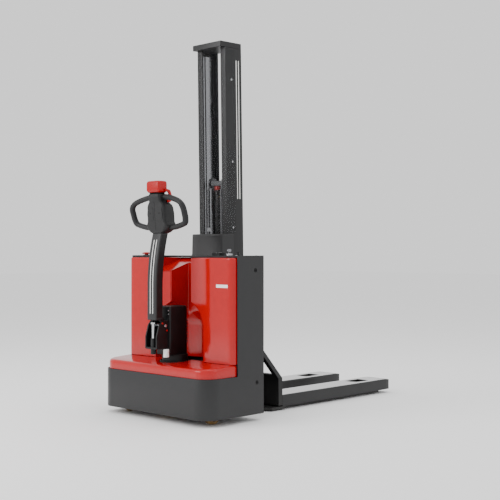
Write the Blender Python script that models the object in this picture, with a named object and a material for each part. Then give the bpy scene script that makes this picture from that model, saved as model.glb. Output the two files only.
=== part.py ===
"""Walkie stacker with a single mast, modelled as an assembly of separate parts.

Metres, +Z up. Lengths along Y are measured from the front face of the skirt, on the
operator's side, towards the fork tips; one empty then moves the whole machine so that
its origin is the centre of its footprint on the floor. X is the machine's width.
"""
import math

import bmesh
import bpy
from mathutils import Matrix, Vector

# ---------------------------------------------------------------- driving dimensions
LENGTH = 1.724            # skirt front to fork tips
WIDTH = 0.853             # over the side panels
GAP = 0.0003              # between pieces that touch
WALL = 0.005              # moulded covers
SHEET = 0.006             # skirt and panels, steel sheet

SKIRT_BOTTOM = 0.036
SKIRT_TOP = 0.243
SKIRT_CORNER = 0.095      # plan radius of the front corners
BODY_REAR = 0.4176        # rear end of the side panels
BODY_TOP = 0.867
PANEL_FRONT = 0.2245      # front edge of the side panels
COVER_INSET = 0.010       # red covers inside the steel skirt

DECK_FRONT_TOP = 0.292    # deck height at its front edge
DECK_REAR_TOP = 0.3055    # deck height at the foot of the upright
DECK_FILLET = 0.012
UPRIGHT_FRONT = 0.191
UPRIGHT_CORNER = 0.032
UPRIGHT_TOP = 0.8555
UPRIGHT_FILLET = 0.013
SHOULDER_FLAT = WIDTH / 2 - 0.1645  # |X| where the flat front panels end
LIP_X = 0.078             # |X| of the recess lips
LIP_Y = 0.212
RECESS_DEPTH = 0.335
POCKET_RADIUS = 0.192     # clearance around the steering axis at the foot
POCKET_TOP = 0.63
POCKET_RISE = 0.150       # height of its domed part
SCOOP_LEFT = -0.215       # the scoop left of the recess and over its back wall
SCOOP_RIGHT = 0.076
SCOOP_FOOT = 0.775        # its height at the front
SCOOP_SLOPE = 0.35        # its rise towards the mast
SCOOP_REAR = 0.386        # where it meets the top plate

MAST_LEAN = math.radians(0.96)
MAST_FRONT = 0.4386       # front of the cap, carried down to the floor
MAST_TOP = 2.0477
MAST_FOOT = 0.050
CAP_HALF = 0.1127
CAP_DEPTH = 0.162
CAP_HEIGHT = 0.030
CHANNEL_SETBACK = 0.036   # channels behind the front of the cap
CHANNEL_WEB = 0.008
CHANNEL_FLANGE = 0.010
FLANGE_WIDTH = 0.040
GUARD_WALL = 0.003
GUARD_SIDE = 0.062        # the guard's side flanges, back from the channel front
BOOT_TOP = 0.985
GUARD_FOOT = BOOT_TOP + 0.007

CYLINDER_Y = 0.086        # in the mast's frame
ROD_RADIUS = 0.0175
BARREL_WALL = 0.005
BARREL_RADIUS = ROD_RADIUS + 0.0015 + BARREL_WALL
BARREL_TOP = 1.232
GLAND_RADIUS = BARREL_RADIUS + 0.006
GLAND_TOP = BARREL_TOP + 0.0225
ROD_STROKE = 0.71
CROSSHEAD_TOP = GLAND_TOP + 0.0295
SHEAVE_Z = GLAND_TOP + 0.0155
SHEAVE_RADIUS = 0.028
SHEAVE_WIDTH = 0.014
CHAIN_WIDTH = 0.012
CHAIN_THICK = 0.005
CHAIN_FOOT = 0.300

ROLLER_RADIUS = (CAP_DEPTH - CHANNEL_SETBACK) / 2 - CHANNEL_FLANGE - 0.001
ROLLER_Z = 0.400
CHEEK = 0.010             # carriage plates
CARRIAGE_HALF = CAP_HALF - FLANGE_WIDTH - 0.0027
SHEAVE_X = CARRIAGE_HALF - CHEEK - 0.009
ROLLER_WIDTH = CAP_HALF - CHANNEL_WEB - CARRIAGE_HALF - 0.0067
CARRIAGE_FOOT = 0.110
CARRIAGE_TOP = 0.470

FORK_SPREAD = 0.285       # half, over the forks
FORK_WIDTH = 0.170
FORK_TOP = 0.0853
FORK_BOTTOM = 0.0220
FORK_WALL = 0.008
FRAME_FRONT = MAST_FRONT + CAP_DEPTH + 0.0878  # fork frame plate, operator's side
FRAME_DEPTH = 0.0323
FRAME_SHOULDER = 0.176    # where the frame's outer edge starts to slope
FRAME_TOP = 0.350
CROSS_TOP = 0.195         # top of the frame's lower cross plate
FRAME_BAR = 0.022         # width of the sloping bars, measured flat
WINDOW_TOP = 0.320
OPENING_NEAR = LENGTH - 0.288  # openings in the fork tops for the load wheels
OPENING_FAR = LENGTH - 0.158
OPENING_HALF = FORK_WIDTH / 2 - 0.043

LEG_HALF = FORK_WIDTH / 2 - 0.023
LEG_TOP = 0.066
LEG_BOTTOM = 0.012
LEG_TIP = LENGTH - 0.084
BASE_PLATE = 0.012
LOAD_RADIUS = 0.040
LOAD_WIDTH = 2 * LEG_HALF - 0.054
LOAD_Y = (OPENING_NEAR + OPENING_FAR) / 2
AXLE_RADIUS = 0.010

STEER_Y = 0.172           # steering axis
WHEEL_RADIUS = 0.105
WHEEL_WIDTH = 0.070
BRIDGE_TOP = 0.238
BRIDGE_THICK = 0.012
COLLAR_RADIUS = 0.070
DECK_HOLE = COLLAR_RADIUS + 0.012
HEAD_FOOT = 0.338         # drive head housing
HEAD_TOP = 0.598
HEAD_HALF = 0.055
HEAD_FRONT = 0.086
HEAD_REAR = 0.228
PIVOT_Y = 0.062           # tiller tilt axis
PIVOT_Z = 0.495
PIN_RADIUS = 0.008
SPRING_Y = 0.020

ARM_HALF = 0.036
ARM_DEPTH = 0.050
ARM_WALL = 0.005
ARM_Y = 0.031
ARM_FOOT = 0.527
ARM_TOP = 0.9835
ARM_BEND = 0.700          # height where the arm starts to bow towards the mast
ARM_RADIUS = 1.10

LOOP_RADIUS = 0.0140
SHELL_HALF = 0.071
NECK_TOP = 1.1915
CAP_GAP = 0.009           # travel room under the belly button
BUTTON_TOP = 1.262
PADDLE_Y = 0.070          # axis of the thumb paddles
PADDLE_Z = 1.154

CASTER_X = WIDTH / 2 - 0.0965
CASTER_Y = 0.105
CASTER_RADIUS = 0.050
CASTER_WIDTH = 0.034
CASTER_TRAIL = 0.028

STOP_X = -(WIDTH / 2 - 0.0815)  # emergency stop on the top plate
STOP_Y = 0.262
STOP_STEM = 0.012
KEY_X = WIDTH / 2 - 0.1085     # key switch on the top plate
GAUGE_X = WIDTH / 2 - 0.2215   # left edge of the battery gauge

# ---------------------------------------------------------------- colours and finishes
FINISHES = {
    "grey_paint": ((0.075, 0.075, 0.077), 0.42, 0.0),
    "dark_paint": ((0.045, 0.045, 0.047), 0.45, 0.0),
    "red_cover": ((0.78, 0.012, 0.012), 0.22, 0.0),
    "black_plastic": ((0.020, 0.020, 0.021), 0.40, 0.0),
    "red_plastic": ((0.80, 0.015, 0.012), 0.35, 0.0),
    "bright_steel": ((0.62, 0.62, 0.64), 0.22, 1.0),
    "dark_steel": ((0.10, 0.10, 0.105), 0.38, 1.0),
    "gland_red": ((0.16, 0.018, 0.018), 0.35, 0.6),
    "clear_guard": ((0.55, 0.56, 0.57), 0.08, 0.0),
    "rubber": ((0.018, 0.018, 0.018), 0.70, 0.0),
    "polyurethane": ((0.20, 0.11, 0.03), 0.40, 0.0),
    "battery_case": ((0.05, 0.06, 0.075), 0.50, 0.0),
    "cast_grey": ((0.16, 0.16, 0.17), 0.60, 0.6),
}
materials = {}
group_origin = {}


def clear_scene():
    """Remove whatever the file opened with."""
    for old in list(bpy.data.objects):
        bpy.data.objects.remove(old, do_unlink=True)


def make_materials():
    """One Principled material for each finish."""
    for name, (colour, roughness, metallic) in FINISHES.items():
        finish = bpy.data.materials.new(name)
        finish.use_nodes = True
        shader = finish.node_tree.nodes["Principled BSDF"]
        shader.inputs["Base Color"].default_value = (*colour, 1.0)
        shader.inputs["Roughness"].default_value = roughness
        shader.inputs["Metallic"].default_value = metallic
        materials[name] = finish


def group(name, origin, parent=None, turn_x=0.0):
    """An empty that carries a group of pieces; origin is in its parent group's coordinates."""
    empty = bpy.data.objects.new(name, None)
    bpy.context.scene.collection.objects.link(empty)
    base = group_origin[parent.name] if parent else Vector((0, 0, 0))
    empty.parent = parent
    empty.location = Vector(origin) - base
    empty.rotation_euler = (turn_x, 0, 0)
    group_origin[name] = Vector((0, 0, 0)) if turn_x else Vector(origin)
    return empty


def add(name, bm, finish, parent, origin=None, smooth=True):
    """Turn a bmesh in its group's coordinates into an object with its origin at a point."""
    base = group_origin[parent.name]
    origin = Vector(origin) if origin is not None else base.copy()
    bmesh.ops.recalc_face_normals(bm, faces=bm.faces)
    bmesh.ops.translate(bm, verts=bm.verts, vec=-origin)
    mesh = bpy.data.meshes.new(name)
    bm.to_mesh(mesh)
    bm.free()
    piece = bpy.data.objects.new(name, mesh)
    bpy.context.scene.collection.objects.link(piece)
    piece.parent = parent
    piece.location = origin - base
    if smooth:
        mesh.shade_smooth()
        mesh.set_sharp_from_angle(angle=math.radians(35))
    mesh.materials.append(materials[finish])
    return piece


def loft(rings):
    """A closed solid through rings of points; every ring has the same number of points."""
    bm = bmesh.new()
    rows = [[bm.verts.new(point) for point in ring] for ring in rings]
    count = len(rows[0])
    for low, high in zip(rows, rows[1:]):
        for i in range(count):
            j = (i + 1) % count
            bm.faces.new((low[i], low[j], high[j], high[i]))
    bm.faces.new(list(reversed(rows[0])))
    bm.faces.new(rows[-1])
    return bm


def prism(outline, low, high, axis="Z"):
    """Extrude an outline of (a, b) points from low to high along an axis."""
    place = {
        "X": lambda a, b, t: (t, a, b),
        "Y": lambda a, b, t: (a, t, b),
        "Z": lambda a, b, t: (a, b, t),
    }[axis]
    return loft([[place(a, b, t) for a, b in outline] for t in (low, high)])


def box(low, high):
    """A plain box between two corners."""
    outline = [(low[0], low[1]), (high[0], low[1]), (high[0], high[1]), (low[0], high[1])]
    return prism(outline, low[2], high[2])


def turned(profile, centre, axis="Z", sides=24):
    """Revolve (radius, height) points about an axis through a centre; zero radii close it."""
    bm = bmesh.new()
    rows = []
    for radius, height in profile:
        if radius == 0:
            rows.append([bm.verts.new((0, 0, height))])
            continue
        turns = [math.tau * i / sides for i in range(sides)]
        rows.append([bm.verts.new((radius * math.cos(t), radius * math.sin(t), height)) for t in turns])
    closed = profile[0][0] != 0
    pairs = list(zip(rows, rows[1:] + rows[:1])) if closed else list(zip(rows, rows[1:]))
    for low, high in pairs:
        for i in range(sides):
            j = (i + 1) % sides
            corners = [low[i % len(low)], low[j % len(low)], high[j % len(high)], high[i % len(high)]]
            unique = list(dict.fromkeys(corners))
            if len(unique) > 2:
                bm.faces.new(unique)
    turn = {"Z": Matrix(), "X": Matrix.Rotation(math.pi / 2, 4, "Y"), "Y": Matrix.Rotation(-math.pi / 2, 4, "X")}
    bmesh.ops.transform(bm, matrix=Matrix.Translation(centre) @ turn[axis], verts=bm.verts)
    return bm


def arc(centre, radius, start, end, steps):
    """Points on an arc, angles in degrees."""
    turns = [math.radians(start + (end - start) * i / steps) for i in range(steps + 1)]
    return [(centre[0] + radius * math.cos(t), centre[1] + radius * math.sin(t)) for t in turns]


def rounded_outline(half, front, rear, front_radius, rear_radius=0.0, steps=6):
    """A plan outline, symmetric about X = 0, with rounded front and rear corners."""
    points = arc((half - front_radius, front + front_radius), front_radius, -90, 0, steps)
    if rear_radius:
        points += arc((half - rear_radius, rear - rear_radius), rear_radius, 0, 90, steps)
    else:
        points.append((half, rear))
    return points + [(-x, y) for x, y in reversed(points)]


def bevel(piece, width, segments=1):
    """Round the sharp edges of a piece."""
    modifier = piece.modifiers.new("edges", "BEVEL")
    modifier.width = width
    modifier.segments = segments
    modifier.limit_method = "ANGLE"
    modifier.angle_limit = math.radians(40)
    return piece


def combine(piece, bm, operation="DIFFERENCE", parent=None):
    """Cut a tool from a piece, or join it on; returns the tool, hidden from renders."""
    tool = add(piece.name + "_tool", bm, "dark_steel", parent or piece.parent, smooth=False)
    tool.hide_render = True
    tool.display_type = "WIRE"
    modifier = piece.modifiers.new("shape", "BOOLEAN")
    modifier.operation = operation
    modifier.solver = "EXACT"
    modifier.object = tool
    return tool


def tube(name, route, radius, finish, parent, origin=None):
    """A round bar or hose along a route, as a bevelled poly curve with filled ends."""
    base = group_origin[parent.name]
    origin = Vector(origin) if origin is not None else base.copy()
    curve = bpy.data.curves.new(name, "CURVE")
    curve.dimensions = "3D"
    curve.bevel_depth = radius
    curve.bevel_resolution = 3
    curve.use_fill_caps = True
    spline = curve.splines.new("POLY")
    spline.points.add(len(route) - 1)
    for point, place in zip(spline.points, route):
        point.co = (*(Vector(place) - origin), 1.0)
    curve.materials.append(materials[finish])
    piece = bpy.data.objects.new(name, curve)
    bpy.context.scene.collection.objects.link(piece)
    piece.parent = parent
    piece.location = origin - base
    return piece


def smooth_route(points, steps):
    """Points on a Catmull-Rom curve through a short list of places."""
    places = [Vector(p) for p in points]
    padded = [2 * places[0] - places[1], *places, 2 * places[-1] - places[-2]]
    route = []
    for a, b, c, d in zip(padded, padded[1:], padded[2:], padded[3:]):
        for i in range(steps):
            t = i / steps
            route.append(0.5 * ((2 * b) + (c - a) * t + (2 * a - 5 * b + 4 * c - d) * t ** 2
                                + (3 * b - a - 3 * c + d) * t ** 3))
    return route + [places[-1]]


def mirrored(outline):
    """An outline given for X >= 0, completed with its mirror image."""
    return outline + [(-x, y) for x, y in reversed(outline)]


# ---------------------------------------------------------------- body and covers
def build_body(machine):
    """Base frame, steel skirt and panels, red covers, top plate and what they house."""
    half = WIDTH / 2
    frame = add("base_frame", prism([
        (0.060, BRIDGE_TOP - BRIDGE_THICK), (0.302, BRIDGE_TOP - BRIDGE_THICK), (0.302, 0.062),
        (BODY_REAR - SHEET - GAP, 0.062), (BODY_REAR - SHEET - GAP, 0.074), (0.314, 0.074),
        (0.314, BRIDGE_TOP - BRIDGE_THICK), (BODY_REAR - SHEET - GAP, BRIDGE_TOP - BRIDGE_THICK),
        (BODY_REAR - SHEET - GAP, BRIDGE_TOP), (0.060, BRIDGE_TOP)], 0.0265 - half, half - 0.0265, "X"), "dark_paint", machine)
    combine(frame, turned([(0, 0.15), (COLLAR_RADIUS + 0.004, 0.15), (COLLAR_RADIUS + 0.004, 0.30), (0, 0.30)],
                          (0, STEER_Y, 0), sides=32))

    skirt = add("skirt_cover", prism(rounded_outline(half, 0.0, PANEL_FRONT - GAP, SKIRT_CORNER, steps=8),
                                     SKIRT_BOTTOM, SKIRT_TOP), "grey_paint", machine)
    combine(skirt, prism(rounded_outline(half - SHEET, SHEET, PANEL_FRONT + 0.05, SKIRT_CORNER - SHEET, steps=8),
                         SKIRT_BOTTOM - 0.01, SKIRT_TOP + 0.01))

    for side, name in ((-1, "left"), (1, "right")):
        inner, outer = sorted((side * (half - SHEET), side * half))
        panel = add("side_panel_" + name, box((inner, PANEL_FRONT, SKIRT_BOTTOM), (outer, BODY_REAR, BODY_TOP)),
                    "grey_paint", machine)
        bevel(panel, 0.0015)
    rear = add("rear_panel", box((-half + SHEET + GAP, BODY_REAR - SHEET, 0.060),
                                 (half - SHEET - GAP, BODY_REAR, UPRIGHT_TOP - GAP)), "grey_paint", machine)
    bevel(rear, 0.001)

    build_deck(machine)
    build_upright(machine)
    top = add("top_cover", prism(rounded_outline(half - SHEET - GAP, UPRIGHT_FRONT + 0.020, BODY_REAR, 0.026,
                                                 steps=4), UPRIGHT_TOP, BODY_TOP - 0.001), "grey_paint", machine)
    seat = [(0, 0.84), (STOP_STEM + GAP, 0.84), (STOP_STEM + GAP, 0.88), (0, 0.88)]
    combine(top, turned(seat, (STOP_X, STOP_Y, 0), sides=24))
    combine(top, box((SCOOP_LEFT, UPRIGHT_FRONT - 0.02, 0.80), (SCOOP_RIGHT, SCOOP_REAR, 0.90)))
    bevel(top, 0.002)
    build_boot(machine)
    build_inside(machine)


def build_deck(machine):
    """The low red deck over the drive unit: a moulded shell, open underneath."""
    half = WIDTH / 2 - COVER_INSET
    rear = PANEL_FRONT + 0.040

    def ring(inset, level):
        outline = rounded_outline(half - inset, COVER_INSET + inset, PANEL_FRONT - GAP, SKIRT_CORNER - COVER_INSET
                                  - inset, steps=8)
        return [(x, y, level(y)) for x, y in outline]

    def top(drop):
        slope = (DECK_REAR_TOP - DECK_FRONT_TOP) / (PANEL_FRONT - COVER_INSET)
        return lambda y: DECK_FRONT_TOP + slope * (y - COVER_INSET) - drop

    steps = 3
    fillet = [(DECK_FILLET * (1 - math.cos(math.pi / 2 * i / steps)),
               DECK_FILLET * (1 - math.sin(math.pi / 2 * i / steps))) for i in range(steps + 1)]
    rings = [ring(0, lambda y: SKIRT_TOP + GAP)] + [ring(inset, top(drop)) for inset, drop in fillet]
    deck = add("deck_cover", loft(rings), "red_cover", machine)
    combine(deck, loft([ring(WALL, lambda y: SKIRT_TOP - 0.01), ring(WALL, top(WALL + DECK_FILLET / 3))]))
    combine(deck, turned([(0, 0.2), (DECK_HOLE, 0.2), (DECK_HOLE, 0.4), (0, 0.4)], (0, STEER_Y, 0), sides=32))
    combine(deck, box((-DECK_HOLE + 0.004, STEER_Y, 0.2), (DECK_HOLE - 0.004, rear, 0.4)))


def upright_outline(inset=0.0):
    """Plan of the upright cover: flat panels, bowed shoulders and the central recess."""
    half = WIDTH / 2 - COVER_INSET - inset
    corner = UPRIGHT_CORNER - inset
    front = UPRIGHT_FRONT + inset
    lip = 0.010
    bow = [(t, math.sin(math.pi / 2 * t) ** 2) for t in (0.25, 0.5, 0.75)]
    points = [(0.0, RECESS_DEPTH + inset), (LIP_X - 0.020 + inset, RECESS_DEPTH + inset)]
    points += [(LIP_X - 0.004 + inset, RECESS_DEPTH - 0.018 + inset * 0.5)]
    points += arc((LIP_X + lip + inset * 0.4, LIP_Y + lip), lip, 180, 255, 3)
    points += [(LIP_X + 0.020 + (SHOULDER_FLAT - LIP_X - 0.020) * t,
                LIP_Y + inset + (UPRIGHT_FRONT - LIP_Y) * rise) for t, rise in bow]
    points += [(SHOULDER_FLAT, front)]
    points += arc((half - corner, front + corner), corner, -90, 0, 4)
    points += [(half, BODY_REAR - SHEET - GAP)]
    return points + [(-x, y) for x, y in reversed(points[1:])]


def build_upright(machine):
    """The tall red cover: a moulded shell, open at the back and underneath."""
    outline = upright_outline()
    centre_y = 0.300
    steps = 3
    rings = [[(x, y, DECK_REAR_TOP + GAP) for x, y in outline]]
    for i in range(steps + 1):
        turn = math.pi / 2 * i / steps
        inset = UPRIGHT_FILLET * (1 - math.cos(turn))
        level = UPRIGHT_TOP - GAP - UPRIGHT_FILLET * (1 - math.sin(turn))
        rings.append([(x * (1 - inset / (WIDTH / 2)), y + (inset if y < centre_y else 0.0), level)
                      for x, y in outline])
    cover = add("upright_cover", loft(rings), "red_cover", machine)
    combine(cover, pocket(0.0))
    inner = [(x, y if y < BODY_REAR - 0.02 else BODY_REAR + 0.02) for x, y in upright_outline(WALL)]
    hollow = combine(cover, prism(inner, DECK_REAR_TOP - 0.02, UPRIGHT_TOP - WALL - GAP))
    combine(hollow, pocket(WALL))
    combine(cover, scoop(0.0))
    combine(hollow, scoop(WALL))


def scoop(grow):
    """Everything above the sloping hand-hold beside and behind the tiller."""
    rings = []
    for y in (UPRIGHT_FRONT - 0.040, BODY_REAR + 0.040):
        level = SCOOP_FOOT - grow + SCOOP_SLOPE * (y - UPRIGHT_FRONT)
        rings.append([(SCOOP_LEFT - grow, y, level), (SCOOP_RIGHT + grow, y, level),
                      (SCOOP_RIGHT + grow, y, BODY_TOP + 0.05), (SCOOP_LEFT - grow, y, BODY_TOP + 0.05)])
    return loft(rings)


def pocket(grow):
    """The space round the drive head, turned about the steering axis, with a domed top."""
    reach = POCKET_RADIUS + grow
    dome = [(reach * math.cos(t), POCKET_TOP - POCKET_RISE + (POCKET_RISE + grow) * math.sin(t))
            for t in [math.radians(15 * i) for i in range(6)]]
    profile = [(0, 0.28), (reach, 0.28)] + dome + [(0, POCKET_TOP + grow)]
    return turned(profile, (0, STEER_Y, 0), sides=40)


def build_boot(machine):
    """Moulded boot where the mast passes the top plate: a flared collar around its front."""
    def ring(grow, level):
        side = CAP_HALF + 0.0063 + grow
        front = MAST_FRONT - 0.0476 - grow
        right = [(side - 0.0625, front), (side, front + 0.0150), (side, MAST_FRONT + 0.0614)]
        return [(x, y, level) for x, y in mirrored(right)]

    boot = add("mast_boot", loft([ring(0.006, BODY_TOP), ring(0.001, BOOT_TOP - 0.004), ring(-0.002, BOOT_TOP)]),
               "dark_paint", machine)
    clear = CAP_HALF + 0.0015
    combine(boot, box((-clear, MAST_FRONT - 0.0136, BODY_TOP - 0.02), (clear, MAST_FRONT + 0.0914, BOOT_TOP + 0.02)))


def build_inside(machine):
    """Batteries, hydraulic unit, electronics and the controls on the top plate."""
    half = WIDTH / 2
    floor = BRIDGE_TOP + GAP
    rear = BODY_REAR - SHEET - 0.004
    for side, name in ((-1, "left"), (1, "right")):
        inner, outer = sorted((side * (POCKET_RADIUS + WALL + 0.014), side * (half - 0.028)))
        case = add("battery_" + name, box((inner, 0.240, floor), (outer, rear, floor + 0.205)), "battery_case", machine)
        bevel(case, 0.004)
    unit = [(0, 0), (0.030, 0), (0.030, 0.050), (0.045, 0.055), (0.045, 0.170), (0.030, 0.182), (0, 0.182)]
    add("pump_unit", turned(unit, (0.270, 0.330, 0.460), sides=20), "black_plastic", machine)
    tank = add("oil_tank", box((0.0365 - half, 0.245, 0.460), (-POCKET_RADIUS - 0.033, rear, 0.640)), "grey_paint", machine)
    bevel(tank, 0.006)
    controller = add("motor_controller", box((0.1065 - half, 0.330, 0.665), (-0.110, rear, 0.745)), "cast_grey", machine)
    bevel(controller, 0.003)
    charger = add("battery_charger", box((0.120, 0.270, 0.670), (half - 0.0865, rear, 0.750)), "cast_grey", machine)
    bevel(charger, 0.004)

    gauge = add("battery_gauge", box((GAUGE_X, 0.248, BODY_TOP + GAP), (GAUGE_X + 0.063, 0.292, BODY_TOP + 0.016)),
                "black_plastic", machine)
    bevel(gauge, 0.003)
    key = group("key_axis", (KEY_X, 0.270, BODY_TOP), machine)
    collar = [(0, GAP), (0.017, GAP), (0.017, 0.009), (0.012, 0.012), (0, 0.012)]
    barrel = add("key_switch", turned(collar, (KEY_X, 0.270, BODY_TOP), sides=20), "bright_steel", key)
    combine(barrel, box((KEY_X - 0.0025, 0.256, BODY_TOP + 0.010), (KEY_X + 0.0025, 0.284, BODY_TOP + 0.036)), "UNION")
    stop = group("stop_axis", (STOP_X, STOP_Y, BODY_TOP), machine)
    mushroom = [(0, -0.004), (STOP_STEM, -0.004), (STOP_STEM, 0.0070), (0.0240, 0.0075), (0.0260, 0.0110),
                (0.0200, 0.0165), (0, 0.0185)]
    add("emergency_stop", turned(mushroom, (STOP_X, STOP_Y, BODY_TOP), sides=24), "red_plastic", stop)


# ---------------------------------------------------------------- mast and lift
def build_mast(machine):
    """Channels, cap, guard, lift cylinder and the fixed chain runs, in the leaning frame."""
    mast = group("mast_frame", (0, MAST_FRONT, 0), machine, turn_x=MAST_LEAN)
    front = CHANNEL_SETBACK
    rear = CAP_DEPTH
    top = MAST_TOP - CAP_HEIGHT - GAP
    for side, name in ((-1, "left"), (1, "right")):
        outline = [(CAP_HALF, front), (CAP_HALF, rear), (CAP_HALF - FLANGE_WIDTH, rear),
                   (CAP_HALF - FLANGE_WIDTH, rear - CHANNEL_FLANGE), (CAP_HALF - CHANNEL_WEB, rear - CHANNEL_FLANGE),
                   (CAP_HALF - CHANNEL_WEB, front + CHANNEL_FLANGE),
                   (CAP_HALF - FLANGE_WIDTH, front + CHANNEL_FLANGE), (CAP_HALF - FLANGE_WIDTH, front)]
        channel = add("mast_channel_" + name, prism([(side * x, y) for x, y in outline], MAST_FOOT, top),
                      "grey_paint", mast)
        bevel(channel, 0.001)
    cap = add("mast_cap", box((-CAP_HALF, 0, MAST_TOP - CAP_HEIGHT), (CAP_HALF, CAP_DEPTH, MAST_TOP)),
              "grey_paint", mast)
    bevel(cap, 0.0015)

    outer = CAP_HALF + GUARD_WALL + GAP
    inner = CAP_HALF + GAP
    guard_front = front - GUARD_WALL - GAP
    right = [(outer, guard_front), (outer, front + GUARD_SIDE), (inner, front + GUARD_SIDE), (inner, front - GAP)]
    add("mast_guard", prism(mirrored(right), GUARD_FOOT, top - 0.001), "clear_guard", mast, smooth=False)

    barrel = [(0, 0.085), (BARREL_RADIUS, 0.085), (BARREL_RADIUS, BARREL_TOP),
              (BARREL_RADIUS - BARREL_WALL, BARREL_TOP), (BARREL_RADIUS - BARREL_WALL, 0.100), (0, 0.100)]
    add("lift_cylinder", turned(barrel, (0, CYLINDER_Y, 0), sides=20), "black_plastic", mast)
    gland = [(ROD_RADIUS + GAP, BARREL_TOP + GAP), (GLAND_RADIUS, BARREL_TOP + GAP), (GLAND_RADIUS, GLAND_TOP - 0.003),
             (GLAND_RADIUS - 0.003, GLAND_TOP), (ROD_RADIUS + GAP, GLAND_TOP)]
    add("cylinder_gland", turned(gland, (0, CYLINDER_Y, 0), sides=24), "gland_red", mast)
    route = smooth_route([(0.030, 0.066, BARREL_TOP - 0.042), (0.030, 0.060, BARREL_TOP - 0.082), (0.030, 0.056, 1.000), (0.030, 0.056, 0.700),
                          (0.030, 0.056, 0.400), (0.030, 0.056, 0.150), (0.026, 0.050, 0.110)], 4)
    tube("lift_hose", route, 0.0045, "rubber", mast)
    for side, name in ((-1, "left"), (1, "right")):
        middle = side * SHEAVE_X
        behind = CYLINDER_Y - SHEAVE_RADIUS - CHAIN_THICK - GAP
        run = box((middle - CHAIN_WIDTH / 2, behind - CHAIN_THICK - GAP, CHAIN_FOOT),
                  (middle + CHAIN_WIDTH / 2, behind - GAP, SHEAVE_Z - SHEAVE_RADIUS))
        add("chain_run_" + name, run, "dark_steel", mast, smooth=False)
    return mast


def build_rod(mast):
    """The lift rod with its crosshead, sheaves and the chains over them."""
    rod = group("rod_carrier", (0, CYLINDER_Y, GLAND_TOP), mast)
    profile = [(0, 0.115), (ROD_RADIUS, 0.115), (ROD_RADIUS, GLAND_TOP + 0.0005), (0, GLAND_TOP + 0.0005)]
    add("lift_rod", turned(profile, (0, CYLINDER_Y, 0), sides=20), "bright_steel", rod)
    bar = SHEAVE_X - SHEAVE_WIDTH / 2 - 0.002
    crosshead = add("crosshead", box((-bar, CYLINDER_Y - 0.026, GLAND_TOP + 0.0008),
                                     (bar, CYLINDER_Y + 0.026, CROSSHEAD_TOP)), "cast_grey", rod)
    stub = [(0, -bar - 0.020), (0.007, -bar - 0.020), (0.007, bar + 0.020), (0, bar + 0.020)]
    combine(crosshead, turned(stub, (0, CYLINDER_Y, SHEAVE_Z), "X", 16), "UNION")
    for side, name in ((-1, "left"), (1, "right")):
        middle = side * SHEAVE_X
        axis = group("sheave_axis_" + name, (middle, CYLINDER_Y, SHEAVE_Z), rod)
        w = SHEAVE_WIDTH / 2
        wheel = [(0.0073, -w), (SHEAVE_RADIUS - 0.001, -w), (SHEAVE_RADIUS - 0.001, w), (0.0073, w)]
        add("sheave_" + name, turned(wheel, (middle, CYLINDER_Y, SHEAVE_Z), "X", 24), "dark_steel", axis)
        inner, outer = SHEAVE_RADIUS, SHEAVE_RADIUS + CHAIN_THICK
        centre = (CYLINDER_Y, SHEAVE_Z)
        near_foot = SHEAVE_Z - ROD_STROKE - 0.040
        far_foot = CARRIAGE_TOP + 0.012
        outline = ([(CYLINDER_Y - outer, near_foot)] + arc(centre, outer, 180, 0, 12)
                   + [(CYLINDER_Y + outer, far_foot), (CYLINDER_Y + inner, far_foot)]
                   + arc(centre, inner, 0, 180, 12) + [(CYLINDER_Y - inner, near_foot)])
        chain = prism(outline, middle - CHAIN_WIDTH / 2, middle + CHAIN_WIDTH / 2, "X")
        add("chain_loop_" + name, chain, "dark_steel", rod, smooth=False)


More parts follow.
